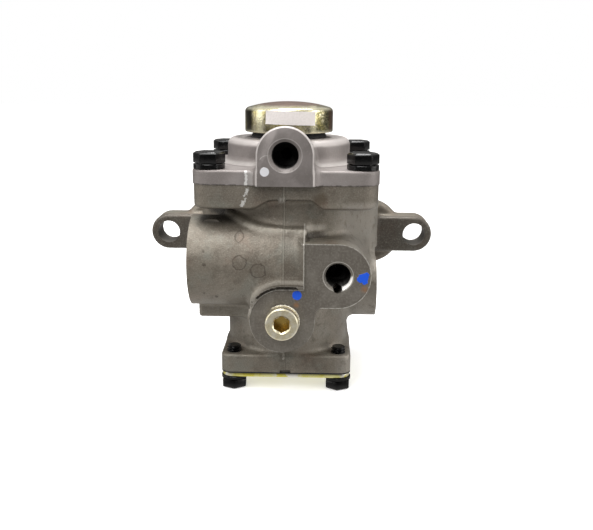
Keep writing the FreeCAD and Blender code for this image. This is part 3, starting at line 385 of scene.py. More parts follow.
def body_cutters():
    """Everything that is machined out of the casting."""
    px, pz = FRONT_PORT
    qx, qz = PLUG_PORT
    cut = [
        box_form("joint_cut", (-70, -70, JOINT_Z), (70, 70, JOINT_Z + 9)),
        box_form("base_cut", (-60, -60, BASE_Z - 9), (60, 60, BASE_Z)),
        box_form("mounting_cut", (-99, AXIS_TO_FACE, -40), (99, AXIS_TO_FACE + 9, 50)),
        box_form("relief_cut", (-61, AXIS_TO_FACE - 2, -30), (61, AXIS_TO_FACE + 5, 30)),
        box_form("port_face_cut", (SUPPLY_INNER_END, -60, -52), (60, -PORT_FACE, 30)),
        turned_form("plug_face_cut", [(0, -60), (PLUG_PAD, -60), (PLUG_PAD, -PORT_FACE), (0, -PORT_FACE)],
                    (qx, 0, qz), "y", 128),
        box_form("plug_face_side_cut", (qx, -60, qz), (SUPPLY_INNER_END + 1, -PORT_FACE, qz + PLUG_PAD)),
        box_form("supply_end_cut", (-60, -60, -40), (SUPPLY_END, 30, 30)),
        box_form("side_end_cut", (SIDE_PORT_END, -25, -45), (60, 25, -2.0)),
        box_form("notch_cut", (-3.2, -40, BASE_Z - 2), (2.6, -34.3, BASE_Z + 1.6)),
        turned_form("inside_cut", [
            (0, 44), (31, 44), (31, 13), (8.05, 13), (8.05, 8), (17, 8), (17, -33), (11.5, -33),
            (11.5, -40.5), (13.5, -40.5), (13.5, -39), (22, -39), (22, -52), (25, -52), (25, -66),
            (0, -66)], around=128),
        turned_form("seal_groove_cut", [(34.6, 42), (37.4, 42), (37.4, 38.2), (34.6, 38.2)],
                    around=128, closed=True),
        thread_form("front_thread", (px, -PORT_FACE, pz), "y", 1, 6.5, 0.9, PIPE_PITCH, 19.9),
        thread_form("plug_thread", (qx, -PORT_FACE, qz), "y", 1, 6.7, 1.0, PIPE_PITCH, 19.9),
        thread_form("side_thread", (SIDE_PORT_END, 0, SIDE_PORT_Z), "x", -1, 7.2, 1.0, PIPE_PITCH, 19.9),
        thread_form("supply_thread", (SUPPLY_END, SUPPLY_Y, SUPPLY_Z), "x", 1, 11.9, 1.25, 1.81, 25.9, 96),
        drill_form("supply_passage", (-29, -22.5, SUPPLY_Z), (-15.8, -8.8, -44), 5),
        drill_form("front_passage", (px, -31, pz), (0, 0, pz), 5.5),
        drill_form("plug_passage", (qx, -31, qz), (0, 0, -27.5), 5.5),
        drill_form("side_passage", (0, 0, SIDE_PORT_Z), (31, 0, SIDE_PORT_Z), 5.5),
        drill_form("cross_hole", (px, -51, pz - 6.1), (24.8, 0, SIDE_PORT_Z), 2.4),
    ]
    for x, z, radius in ((px, pz, 9.6), (qx, qz, 10.3)):
        cut.append(turned_form("mouth_cut", [(0, -52), (radius, -52), (6.4, -48.8), (0, -48.8)],
                               (x, 0, z), "y"))
    cut.append(turned_form("side_mouth_cut", [(0, 51.6), (10.3, 51.6), (7.2, 48.5), (0, 48.5)],
                           (0, 0, SIDE_PORT_Z), "x"))
    cut.append(turned_form("supply_mouth_cut", [(0, -52), (15, -52), (11.9, -48.9), (0, -48.9)],
                           (0, SUPPLY_Y, SUPPLY_Z), "x"))
    for sx in (-1, 1):
        cut.append(drill_form("ear_hole", (sx * EAR_X, 30, 0), (sx * EAR_X, 60, 0), 6.75, 64))
    for sx, sy in CORNERS:
        x, y = sx * SCREW_AT, sy * SCREW_AT
        cut.append(drill_form("screw_hole", (x, y, 20), (x, y, 50), 4.8))
        x, y = sx * BASE_SCREW_AT, sy * BASE_SCREW_AT
        cut.append(drill_form("base_hole", (x, y, -70), (x, y, -50), 4.0))
    for turn in range(4):
        x, y = 12.5 * math.cos(math.radians(90 * turn + 45)), 12.5 * math.sin(math.radians(90 * turn + 45))
        cut.append(drill_form("web_hole", (x, y, 4), (x, y, 18), 3))
    return cut


body = cast_form("relay_body", body_skin, (-88, -54, -66), (88, 57, 44), 0.8, 0.42)
body = combined(body, body_cutters())


class Mark:
    """A socket of a finish. Arithmetic on it adds Math nodes, so that a mask reads as a sum."""

    def __init__(self, finish, socket):
        self.finish = finish
        self.socket = socket

    def join(self, operation, first, second):
        return self.finish.node("ShaderNodeMath", {"operation": operation}, {0: first, 1: second})

    def __add__(self, other):
        return self.join("ADD", self, other)

    def __radd__(self, other):
        return self.join("ADD", other, self)

    def __sub__(self, other):
        return self.join("SUBTRACT", self, other)

    def __rsub__(self, other):
        return self.join("SUBTRACT", other, self)

    def __mul__(self, other):
        return self.join("MULTIPLY", self, other)

    def __rmul__(self, other):
        return self.join("MULTIPLY", other, self)

    def __truediv__(self, other):
        return self.join("DIVIDE", self, other)

    def most(self, other):
        return self.join("MAXIMUM", self, other)

    def least(self, other):
        return self.join("MINIMUM", self, other)

    def size(self):
        return self.join("ABSOLUTE", self, 0.0)

    def squared(self):
        return self * self

    def hypot(self, other):
        return (self.squared() + other.squared()).root()

    def root(self):
        return self.join("SQRT", self, 0.0)

    def rise(self, low, high):
        """A smooth mask: 0 at the first value and 1 at the second."""
        settings = {"interpolation_type": "SMOOTHSTEP"}
        return self.finish.node("ShaderNodeMapRange", settings, {0: self, 1: low, 2: high, 3: 0.0, 4: 1.0})

    def fall(self, low, high):
        """A smooth mask: 1 at the first value and 0 at the second."""
        return 1 - self.rise(low, high)

    def band(self, low, full, last, high):
        """A smooth mask that is 1 between two values and 0 beyond two others."""
        return self.rise(low, full) * self.fall(last, high)

    def line(self, middle, full, end):
        """A smooth mask that is 1 at a value and 0 away from it."""
        return (self - middle).size().fall(full, end)


class Nodes:
    """A node tree that any node can be added to."""

    def __init__(self, owner):
        owner.use_nodes = True
        self.tree = owner.node_tree
        self.tree.nodes.clear()

    def node(self, kind, settings, sockets, output=0):
        """Any node: its settings first, then the values or links of its sockets."""
        made = self.tree.nodes.new(kind)
        for name, value in settings.items():
            setattr(made, name, value)
        for key, value in sockets.items():
            if isinstance(value, Mark):
                self.tree.links.new(value.socket, made.inputs[key])
            else:
                made.inputs[key].default_value = value
        return Mark(self, made.outputs[output]) if made.outputs else None

    def parts(self, vector):
        """The three parts of a vector."""
        return [self.node("ShaderNodeSeparateXYZ", {}, {0: vector}, k) for k in range(3)]


class Finish(Nodes):
    """One procedural material, worked out in millimetres about the valve's axis."""

    def __init__(self, name, **constants):
        self.material = bpy.data.materials.new(name)
        super().__init__(self.material)
        self.shader = self.tree.nodes.new("ShaderNodeBsdfPrincipled")
        output = self.tree.nodes.new("ShaderNodeOutputMaterial")
        self.tree.links.new(self.shader.outputs[0], output.inputs[0])
        for socket, value in constants.items():
            self.shader.inputs[socket.replace("_", " ")].default_value = value
        place = self.node("ShaderNodeTexCoord", {}, {}, "Object")
        scaled = self.node("ShaderNodeVectorMath", {"operation": "SCALE"}, {0: place, 3: 1000.0})
        to_axis = {0: scaled, 1: (0, AXIS_TO_FACE, 0)}
        self.place = self.node("ShaderNodeVectorMath", {"operation": "ADD"}, to_axis)
        self.x, self.y, self.z = self.parts(self.place)

    def grain(self, scale, detail=2.0, rough=0.5):
        """A noise, its scale in waves a millimetre."""
        return self.node("ShaderNodeTexNoise", {}, {"Vector": self.place, "Scale": scale, "Detail": detail,
                                                    "Roughness": rough})

    def note(self, name):
        """A mark kept on the mesh."""
        return self.node("ShaderNodeAttribute", {"attribute_name": name}, {}, "Fac")

    def tint(self, mask, under, over):
        """One colour under another, by a mask."""
        return self.node("ShaderNodeMix", {"data_type": "RGBA"}, {0: mask, 6: under, 7: over}, 2)

    def coat(self, mask, red, green, blue):
        """One more colour over those before it, by a mask."""
        self.colour = self.tint(mask, self.colour, (red, green, blue, 1))

    def way(self, *centre, flat="xz"):
        """Distance in millimetres from a point, seen along one axis."""
        parts = [getattr(self, axis) for axis in flat]
        total = sum((part - place).squared() for part, place in zip(parts, centre))
        return total.root()

    def set(self, **sockets):
        for name, value in sockets.items():
            self.tree.links.new(value.socket, self.shader.inputs[name.replace("_", " ")])

    def bump(self, height, depth, normal=None):
        """Relief from a height in millimetres times a depth."""
        sockets = {"Strength": 1.0, "Distance": depth / 1000, "Height": height}
        if normal is not None:
            sockets["Normal"] = normal
        return self.node("ShaderNodeBump", {}, sockets)


def clouded(name, cloud, limits, under, over, rough, **constants):
    """A finish of two colours clouded into each other, its roughness from the same clouds."""
    made = Finish(name, **constants)
    cloud = made.grain(*cloud)
    made.set(Base_Color=made.tint(cloud.rise(*limits), (*under, 1), (*over, 1)))
    made.set(Roughness=rough[0] + cloud * rough[1])
    return made, cloud


PARTING_X = -0.7
STAIN_RINGS = [(-23.4, 14.3, 2.2), (-23.0, 1.9, 3.4), (-13.5, -2.1, 3.6)]
SPLASHES = [(-19.6, 37.2, 1.4, 0.5), (-21.4, 31.6, 0.6, 1.1), (-20.4, 33.0, 0.9, 0.3)]
STAIN_SPECKS = [(-41.2, 7.4, 1.3), (-40.8, 0.6, 1.0), (-41.7, -15.2, 1.2), (-35.5, -17.5, 0.9)]

cast = Finish("cast_body_skin", Metallic=0.4)
front = cast.y.fall(-30, -20)
broad = cast.grain(0.03, 3.0, 0.55)
patches = cast.grain(0.11, 4.0, 0.6)
sand = cast.grain(1.5, 3.0, 0.6)
warp = cast.grain(0.35, 2.0, 0.5)
cast.colour = cast.tint(broad.rise(0.35, 0.65), (0.150, 0.127, 0.098, 1), (0.215, 0.190, 0.152, 1))
cast.coat(patches.rise(0.42, 0.70) * 0.7, 0.275, 0.245, 0.200)
hue = cast.grain(0.07, 3.0, 0.6)
cast.coat(hue.rise(0.5, 0.7) * 0.6, 0.195, 0.195, 0.165)
cast.coat(hue.fall(0.3, 0.46) * 0.6, 0.205, 0.155, 0.118)
cast.coat(cast.z.rise(30, 34) * 0.35, 0.125, 0.107, 0.085)
last_run = cast.x.band(-1.5, 0.5, 9.3, 9.9) * cast.z.rise(-12, -7)
last_run = last_run * cast.z.fall(17, 22) * front
cast.coat(last_run * 0.4, 0.10, 0.083, 0.064)
# Painted shadow on the top side of the front port boss, and a painted highlight on the fillet above it.
run = cast.x.most(SUPPLY_INNER_END).least(FRONT_PORT[0])
beyond = (cast.x - run).hypot(cast.z - FRONT_PORT[1]) - PORT_R
around = cast.y.fall(-36, -32) * cast.x.rise(9.5, 10.3) * cast.z.rise(-10, -4)
shadow = beyond.band(0.2, 0.9, 2.8, 4.6) * around
cast.coat(shadow * 0.85, 0.045, 0.037, 0.029)
painted_highlight_halo = beyond.band(3.6, 5.2, 6.0, 8.5) * around
cast.coat(painted_highlight_halo * 0.85, 0.52, 0.48, 0.42)
hollow = cast.note("hollow")
edge = cast.note("edge")
# Painted shade, with some dirt, darkening the hollows of the casting.
cast.coat(hollow.rise(0.12, 0.6) * (0.35 + warp * 0.5), 0.045, 0.036, 0.027)
# Painted shadow on the top of the supply boss, under the left lug.
painted_shadow_under_lug = cast.z.band(18.0, 21.5, 24.5, 28) * cast.x.fall(-29, -23)
painted_shadow_under_lug = painted_shadow_under_lug * cast.x.rise(-47, -43) * cast.y.fall(2, 8)
cast.coat(painted_shadow_under_lug * 0.88, 0.012, 0.010, 0.008)
# Painted light: the lower front of the body is made lighter.
low = cast.z.fall(-25, -8) * cast.z.rise(-53.5, -51)
cast.coat(low * front * 0.6, 0.33, 0.30, 0.255)
# Painted light on the right side of the body.
painted_light_right_side = cast.x.rise(24, 34) * cast.z.fall(30, 34) * cast.y.fall(20, 34)
cast.coat(painted_light_right_side * 0.55, 0.40, 0.37, 0.33)
# Painted shade along the lower edge of the flange front, under the lugs.
lug_part = (0 - cast.x).rise(6, 18).most(cast.x.rise(12, 20))
painted_shade_lug_edge = (cast.z - FLANGE_LOW_Z + lug_part * LUG_DROP).rise(-0.3, 1.9)
painted_shade_lug_edge = (1 - painted_shade_lug_edge) * cast.y.fall(-44.5, -43) * cast.z.rise(25.5, 27)
cast.coat(painted_shade_lug_edge * 0.65, 0.05, 0.041, 0.032)
ear_shade = cast.y.band(34, 36.8, 38.5, 41) * cast.x.size().rise(48, 50)
cast.coat(ear_shade * 0.65, 0.055, 0.047, 0.040)
ridge_light = 9.0
for start, end in zip(RIDGE, RIDGE[1:]):
    run = (end[0] - start[0], end[2] - start[2])
    square = run[0] ** 2 + run[1] ** 2
    part = ((cast.x - start[0]) * run[0] + (cast.z - start[2]) * run[1]) / square
    part = part.most(0.0).least(1.0)
    off = (cast.x - start[0] - part * run[0]).hypot(cast.z - start[2] - part * run[1])
    ridge_light = off.least(ridge_light)
ridge_light = ridge_light.fall(0.5, 2.4) * front
cast.coat(ridge_light * (0.35 + warp * 0.4), 0.46, 0.425, 0.36)
px, pz = PLUG_PORT
run = cast.x.most(px).least(30)
lip_way = (cast.x - run).hypot(cast.z - pz)
lip_part = cast.z.rise(pz + 7, pz + 14) * cast.x.fall(9.3, 9.8) * front
# Painted highlight along the crest of the lip over the plug pocket, and painted shade under it.
crest = (cast.x - run).hypot(cast.z - pz - LIP_RISE) - LIP_R
cast.coat(crest.line(0.7, 0.2, 1.8) * lip_part * 0.55, 0.54, 0.50, 0.43)
painted_shade_below_lip = (crest + 1.2).fall(0.0, 0.9) * lip_way.rise(16.8, 17.2)
cast.coat(painted_shade_below_lip * lip_part * 0.75, 0.045, 0.037, 0.029)
# Painted highlight, with some wear, lightening the convex edges of the casting.
cast.coat(edge.rise(0.08, 0.5) * (0.2 + warp * 0.6), 0.42, 0.395, 0.35)
fleck = cast.grain(2.6, 2.0, 0.6)
cast.coat(sand.rise(0.48, 0.72) * 0.28, 0.40, 0.375, 0.33)
cast.coat(sand.fall(0.28, 0.46) * 0.3, 0.07, 0.058, 0.046)
cast.coat(fleck.rise(0.60, 0.74) * 0.25, 0.50, 0.48, 0.43)
cast.coat(fleck.fall(0.26, 0.38) * 0.3, 0.04, 0.034, 0.028)
smear = cast.grain(0.22, 4.0, 0.65)
cast.coat(smear.rise(0.50, 0.70) * 0.5, 0.095, 0.078, 0.058)
stains = 0
for x, z, radius in STAIN_RINGS:
    edge = (cast.way(x, z) + warp * 2.6 - 1.3 - radius).size()
    stains = edge.fall(0.1, 0.5).most(stains)
for x, z, radius in STAIN_SPECKS:
    stains = (1 - (cast.way(x, z) + warp * 3 - 1.5).rise(radius * 0.3, radius)).most(stains)
cast.coat(stains * front * 0.55, 0.045, 0.035, 0.025)
parting = (cast.x - PARTING_X).size()
seam = parting.fall(0.12, 0.45) * front * cast.z.rise(-9, -6)
cast.coat(seam * 0.3, 0.36, 0.34, 0.29)
cast.coat(parting.line(0.7, 0.05, 0.3) * front * 0.3, 0.06, 0.05, 0.04)
oil = 1 - (cast.way(17.5, 33.6) + warp * 5 - 2.5).rise(1.5, 5.0)
cast.coat(oil * front * 0.6, 0.075, 0.050, 0.026)
# Painted highlight along the end edge of the supply boss.
painted_highlight_end_edge = cast.x.line(9.75, 0.15, 0.5) * cast.z.band(-10, -9, 19, 21)
cast.coat(painted_highlight_end_edge * front * 0.8, 0.62, 0.59, 0.53)
ragged = cast.grain(0.8, 3.0, 0.7) * 5 - 2.5
splash = 9.0
for x, z, tall, radius in SPLASHES:
    level = cast.z - (cast.z - z).most(-tall).least(tall)
    off = (cast.x - x - (cast.z - z) * 0.4).hypot(level - z)
    splash = (off + ragged - radius).least(splash)
splash = splash.fall(0.0, 0.3) * front
cast.coat(splash * 0.85, 0.66, 0.65, 0.62)
flash = (cast.x + 1.5 + warp * 2 - 1).size().most((cast.z + 51.5).size() - 3.4)
cast.coat(flash.fall(0.3, 0.8) * sand.rise(0.3, 0.5) * 0.6 * front, 0.50, 0.47, 0.42)
cast.set(Base_Color=cast.colour)
cast.set(Roughness=0.34 + patches * 0.2 + stains * 0.1)
cast.set(Normal=cast.bump(seam, 0.2, cast.bump(sand, 0.16, cast.bump(patches, 0.6))))

BLUE = (0.0, 0.09, 0.74)
BLOBS = [(39.9, -5.6, 2.3), (38.3, -6.2, 1.5), (41.0, -4.4, 1.6), (40.7, -7.6, 1.2)]
milled = Finish("milled_aluminium")
cloud = milled.grain(0.09, 3.0, 0.6)
lines = milled.grain(0.9, 3.0, 0.6)
wobble = milled.grain(0.6, 2.0, 0.5)
milled.colour = milled.tint(cloud.rise(0.35, 0.7), (0.155, 0.138, 0.116, 1), (0.215, 0.197, 0.170, 1))
milled.coat(lines.rise(0.45, 0.75) * 0.45, 0.32, 0.30, 0.265)
milled.coat(lines.fall(0.25, 0.42) * 0.4, 0.09, 0.078, 0.062)
px, pz = PLUG_PORT
run = milled.x.most(SUPPLY_INNER_END).least(FRONT_PORT[0])
front_edge = (milled.x - run).hypot(milled.z - FRONT_PORT[1]) - PORT_R
front_edge = front_edge.most(SUPPLY_INNER_END - milled.x)
beside = (milled.z - pz - PLUG_PAD).most(px - milled.x).most(milled.x - 12)
plug_edge = (milled.way(px, pz) - PLUG_PAD).least(beside)
rim = front_edge.least(plug_edge).size()
on_face = milled.y.fall(-49.9, -49.6)
# Painted highlight along the edges of the milled faces and round the port mouths.
painted_highlight_edge = rim.fall(0.15, 0.42) * (0.35 + wobble.rise(0.35, 0.6) * 0.65) * on_face
mouth = (milled.way(*FRONT_PORT) - 7.75).size().least((milled.way(px, pz) - 8.4).size())
painted_highlight_edge = painted_highlight_edge.most(mouth.fall(0.08, 0.3) * 0.6 * on_face)
painted_highlight_edge = painted_highlight_edge * milled.way(13.0, -22.5).rise(4.0, 7.0)
milled.coat(painted_highlight_edge * 0.9, 0.72, 0.70, 0.64)
dot = milled.way(6.3, -15.1) + wobble * 0.5 - 0.25
blob = 9.0
for x, z, radius in BLOBS:
    blob = (milled.way(x, z) - radius).least(blob)
blob = blob + wobble * 2.0 - 1.0
paint = dot.fall(2.3, 2.55).most(blob.fall(0.0, 0.25)) * on_face
rust = milled.way(6.1, -20.2).fall(0.6, 2.2).most(milled.way(40.6, -11.4).fall(0.8, 2.6)) * on_face
milled.coat(rust * wobble, 0.36, 0.17, 0.07)
milled.coat(paint, *BLUE)
shade = milled.way(*FRONT_PORT).least(milled.way(px, pz))
lean = (milled.x - FRONT_PORT[0] - milled.z + FRONT_PORT[1]) / 10.0
chamfer = shade.band(6.6, 7.0, 8.2, 8.5) * milled.y.band(-49.95, -49.7, -48, -47.5)
threads = shade.band(5.8, 6.2, 8.0, 8.3) * milled.y.band(-49.95, -49.7, -46, -43)
# Painted highlight on the lower right of the port threads, and painted shade on the upper left of the
# chamfer.
milled.coat(threads * lean.rise(0.6, 0.8) * 0.95, 1.0, 0.98, 0.94)
milled.coat(chamfer * lean.fall(-0.6, 0.3) * 0.5, 0.05, 0.045, 0.04)
# Painted shade darkening the bores deeper in, except on the threads' painted highlight, and a painted shadow
# in the cross hole's mouth.
lit = lean.rise(0.5, 0.75) * 0.95 * milled.y.fall(-47, -45)
painted_bore_shade = milled.y.rise(-49.4, -45) * shade.fall(8.3, 8.6) * (1 - lit)
painted_cross_hole_shade = milled.way(FRONT_PORT[0] - 0.2, FRONT_PORT[1] - 5.6) + wobble - 0.5
painted_bore_shade = painted_bore_shade.most(painted_cross_hole_shade.fall(2.2, 2.7) * milled.y.rise(-50.0, -49.8))
painted_bore_shade = painted_bore_shade * milled.y.fall(-24, -20)
milled.coat(painted_bore_shade * 0.93, 0.012, 0.011, 0.010)
milled.set(Base_Color=milled.colour)
milled.set(Metallic=(0.45 - paint * 0.45) * (1 - threads * 0.9))
milled.set(Roughness=0.36 + lines * 0.16 + paint * 0.1)
milled.set(Normal=milled.bump(paint, 0.08, milled.bump(lines, 0.05)))


def dress_casting(made, skin, finishes):
    """The cast skin gets the first finish and cut faces the second. Hollows and edges are noted."""
    mesh = made.data
    mesh.materials.clear()
    for finish in finishes:
        mesh.materials.append(finish.material)
    centres = np.empty(len(mesh.polygons) * 3)
    mesh.polygons.foreach_get("center", centres)
    centres = centres.reshape(-1, 3) * 1000 + (0, AXIS_TO_FACE, 0)
    cut = np.abs(skin(*centres.T)) > 0.12
    mesh.polygons.foreach_set("material_index", cut.astype(np.int32))
    points = np.empty(len(mesh.vertices) * 3)
    mesh.vertices.foreach_get("co", points)
    points = points.reshape(-1, 3) * 1000 + (0, AXIS_TO_FACE, 0)
    unit = 0.05 * np.eye(3)
    outward = np.stack([skin(*(points + step).T) - skin(*(points - step).T) for step in unit], axis=1)
    outward = outward / np.maximum(np.linalg.norm(outward, axis=1), 1e-6)[:, None]
    here = skin(*points.T)
    hollow = 1 - (skin(*(points + 2 * outward).T) - here) / 2
    edge = 1 - (here - skin(*(points - 1.2 * outward).T)) / 1.2
    for name, value in (("hollow", hollow), ("edge", edge)):
        note = mesh.attributes.new(name, "FLOAT", "POINT")
        note.data.foreach_set("value", np.clip(value, 0, 1))
    return shaded(made)


dress_casting(body, body_skin, [cast, milled])
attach(body, "valve_housing")
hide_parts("body")

# Cover: a second die casting, lighter in colour, closed over the piston by four screws.
# Its dome is round, and the control port's arched boss stands on the front with hollow corners at its sides.
COVER_HALF = 47.6
COVER_TOP_Z = 48.2
DOME_R = 33.5
DOME_TOP_Z = 61.5
CONTROL_R = 14.5
CONTROL_Z = 55.9
CONTROL_FACE = 52.0


def cover_skin(x, y, z):
    """Distance to the cast skin of the cover."""
    flange = shared(panel(x, y, COVER_HALF, COVER_HALF, 10), span(z, JOINT_Z - 1, COVER_TOP_Z), 1.2)
    dome = shared(np.hypot(x, y) - DOME_R, span(z, JOINT_Z, DOME_TOP_Z), 4.0)
    fall = 0.085 * np.clip(y + CONTROL_FACE, 0, 99) * rise(z, CONTROL_Z - 6, CONTROL_Z + 8)
    arch = np.hypot(x, z - np.minimum(z, CONTROL_Z)) - CONTROL_R + fall
    boss = shared(arch, span(y, -CONTROL_FACE - 0.2, -26), 1.7)
    boss = shared(boss, JOINT_Z - 1 - z, 0)
    form = grown(grown(flange, dome, 4.5), boss, 5.5 - 3 * rise(z, 46, 52))
    spigot = shared(np.hypot(x, y) - 12, span(z, DOME_TOP_Z - 3, DOME_TOP_Z + 10), 0.5)
    return np.maximum(grown(form, spigot, 1), -CONTROL_FACE - 0.6 - y)


cover = cast_form("relay_cover", cover_skin, (-50, -55, 35), (50, 50, 75), 0.62, 0.5)
cover_cut = [
    box_form("joint_cut", (-60, -60, 30), (60, 60, JOINT_Z)),
    box_form("control_face_cut", (-30, -60, 35), (30, -CONTROL_FACE, 80)),
    turned_form("cover_inside", [(0, 35), (28, 35), (28, 57), (0, 57)], around=128),
    thread_form("control_thread", (0, -CONTROL_FACE, CONTROL_Z), "y", 1, 6.7, 1.0, PIPE_PITCH, 19.9),
    turned_form("control_mouth", [(0, -54), (10.3, -54), (6.7, -50.4), (0, -50.4)], (0, 0, CONTROL_Z), "y"),
    drill_form("control_passage", (0, -33, CONTROL_Z), (0, -27, 54), 3),
]
for sx, sy in CORNERS:
    x, y = sx * SCREW_AT, sy * SCREW_AT
    cover_cut.append(drill_form("cover_hole", (x, y, 30), (x, y, 55), 5.1))
cover = combined(cover, cover_cut)

pale = Finish("cast_cover_skin", Metallic=0.35)
broad = pale.grain(0.05, 3.0, 0.55)
sand = pale.grain(1.7, 3.0, 0.6)
wobble = pale.grain(0.5, 3.0, 0.6)
pale.colour = pale.tint(broad.rise(0.35, 0.7), (0.225, 0.20, 0.19, 1), (0.31, 0.28, 0.27, 1))
hollow = pale.note("hollow")
edge = pale.note("edge")
# Painted shade, with some dirt, in the hollows, and painted highlight, with some wear, on the edges.
pale.coat(hollow.rise(0.12, 0.6) * (0.1 + wobble * 0.5), 0.10, 0.088, 0.08)
pale.coat(edge.rise(0.12, 0.6) * (0.2 + wobble * 0.6), 0.55, 0.52, 0.50)
pale.coat(sand.rise(0.45, 0.8) * 0.35, 0.42, 0.39, 0.37)
pale.coat(sand.fall(0.2, 0.36) * 0.4, 0.09, 0.08, 0.075)
reach = pale.x.hypot(pale.y)
soot = (reach - 27 + wobble * 8 - 4).size().fall(1.0, 3.5) * pale.z.rise(60.5, 61.3)
pale.coat(soot * sand.rise(0.4, 0.55), 0.03, 0.028, 0.026)
behind = pale.y.rise(-51, -49) * pale.z.rise(COVER_TOP_Z - 0.2, COVER_TOP_Z + 0.3)
# Painted light on the right of the cover, and painted shade on the dome's wall.
pale.coat(pale.x.rise(10, 24) * behind * 0.4, 0.46, 0.42, 0.40)
pale.coat(reach.rise(30.5, 33.5) * behind * 0.2, 0.15, 0.13, 0.12)
# Painted highlight on the fillet at the dome's foot, and a painted shade line where it meets the flange.
painted_highlight_dome_foot = reach.line(35.6, 0.6, 1.8) * behind
pale.coat(painted_highlight_dome_foot * (0.2 + wobble * 0.45), 0.62, 0.59, 0.56)
painted_shade_dome_foot_line = reach.line(38.2, 0.3, 0.9) * pale.z.rise(COVER_TOP_Z - 0.3, COVER_TOP_Z)
pale.coat(painted_shade_dome_foot_line * 0.5, 0.07, 0.062, 0.056)
# Painted highlight on the dome's round top edge.
painted_highlight_dome_edge = (pale.z - DOME_TOP_Z + 1.6).size().fall(0.6, 2.0) * reach.fall(34, 35) * behind
pale.coat(painted_highlight_dome_edge * 0.6, 0.60, 0.56, 0.54)
above = (pale.z - CONTROL_Z).most(0.0)
arch = pale.x.hypot(above) - CONTROL_R
# Painted highlight along the rim of the control port's arch.
rim = arch.line(-0.35, 0.45, 0.9) * pale.y.fall(-50.6, -49.8)
pale.coat(rim * (0.45 + wobble * 0.4), 0.66, 0.62, 0.60)
low_line = (pale.z - JOINT_Z).fall(0.1, 0.7) * wobble.rise(0.4, 0.6)
pale.coat(low_line * 0.8, 0.05, 0.045, 0.04)
low_front = pale.y.fall(-46, -45)
worn = (pale.x + 17.6).size().most((pale.z - 43.8).size() - 2.2) + wobble * 2 - 1
pale.coat(worn.fall(1.4, 2.0) * low_front * 0.3, 0.55, 0.53, 0.51)
splash = (pale.x + 19.6).size().most((pale.z - 44.2).size() - 2.9) + wobble * 2.4 - 1.2
pale.coat(splash.fall(0.5, 0.8) * low_front * 0.9, 0.72, 0.71, 0.69)
pale.set(Base_Color=pale.colour)
pale.set(Roughness=0.4 + broad * 0.15)
pale.set(Normal=pale.bump(sand, 0.12, pale.bump(broad, 0.5)))

pale_cut = Finish("milled_cover_face", Metallic=0.4)
cloud = pale_cut.grain(0.1, 3.0, 0.6)
lines = pale_cut.grain(0.9, 3.0, 0.6)
wobble = pale_cut.grain(0.6, 2.0, 0.5)
pale_cut.colour = pale_cut.tint(cloud.rise(0.3, 0.7), (0.185, 0.165, 0.155, 1), (0.25, 0.225, 0.215, 1))
pale_cut.coat(lines.rise(0.5, 0.8) * 0.3, 0.34, 0.31, 0.30)
on_face = pale_cut.y.fall(-51.9, -51.6)
from_port = pale_cut.way(0, CONTROL_Z)
painted_highlight_edge = from_port.line(8.4, 0.1, 0.35) * on_face
pale_cut.coat(painted_highlight_edge * 0.5, 0.52, 0.49, 0.47)
dot = pale_cut.way(-10.0, 48.0) + wobble * 0.3 - 0.15
paint = dot.fall(2.15, 2.35) * on_face
scratch = (pale_cut.way(-9.0, 52.4) - 3.6).size() + wobble * 0.5
scratch = scratch.fall(0.2, 0.6) * on_face * pale_cut.z.rise(53.5, 54.5) * pale_cut.x.fall(-9, -7.5)
pale_cut.coat(scratch * 0.6, 0.55, 0.53, 0.50)
pale_cut.coat(paint, 0.80, 0.80, 0.83)
# Painted shade darkening the control port deeper in.
painted_bore_shade = pale_cut.y.rise(-51, -44) * from_port.fall(8.3, 8.6)
pale_cut.coat(painted_bore_shade * 0.93, 0.012, 0.011, 0.010)
pale_cut.set(Base_Color=pale_cut.colour)
pale_cut.set(Roughness=0.4 + lines * 0.14)
pale_cut.set(Normal=pale_cut.bump(paint, 0.08, pale_cut.bump(lines, 0.05)))
dress_casting(cover, cover_skin, [pale, pale_cut])
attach(cover, "valve_housing")
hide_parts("cover")

# Cover seal: a rubber ring squeezed in the groove between the two castings.
# All the valve's rubber is the same matt black mixture, with a faint bloom of dust on it.
rubber = Finish("black_rubber", Specular_IOR_Level=0.35)
bloom = rubber.grain(0.25, 3.0, 0.6)
fine = rubber.grain(2.5, 2.0, 0.5)
rubber.set(Base_Color=rubber.tint(bloom.rise(0.35, 0.75), (0.012, 0.012, 0.013, 1), (0.035, 0.034, 0.033, 1)))
rubber.set(Roughness=0.5 + bloom * 0.25)
rubber.set(Normal=rubber.bump(fine, 0.05))


def repaint(node, finish):
    """A CAD node keeps its shape and gets a better finish."""
    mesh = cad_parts[node].data
    mesh.materials.clear()
    mesh.materials.append(finish.material)


repaint("cover_seal_ring", rubber)

# Cover screws and their lock washers: four 3/8 in hexagon screws in black oxide, oiled, so they shine.
# Each head is forged, with its top corners turned off, and each washer is a split ring of square wire.
HEAD_LOW_Z = 50.8
black_oxide = Finish("black_oxide_steel", IOR=1.42)
wipe = black_oxide.grain(0.3, 4.0, 0.65)
scale = black_oxide.grain(1.5, 3.0, 0.6)
black_oxide.colour = (0.001, 0.001, 0.0012, 1)
black_oxide.coat(wipe.rise(0.45, 0.8), 0.006, 0.0055, 0.006)
black_oxide.set(Base_Color=black_oxide.colour)
black_oxide.set(Roughness=0.05 + wipe.rise(0.35, 0.7) * 0.2)
black_oxide.set(Normal=black_oxide.bump(scale, 0.05, black_oxide.bump(wipe, 0.15)))


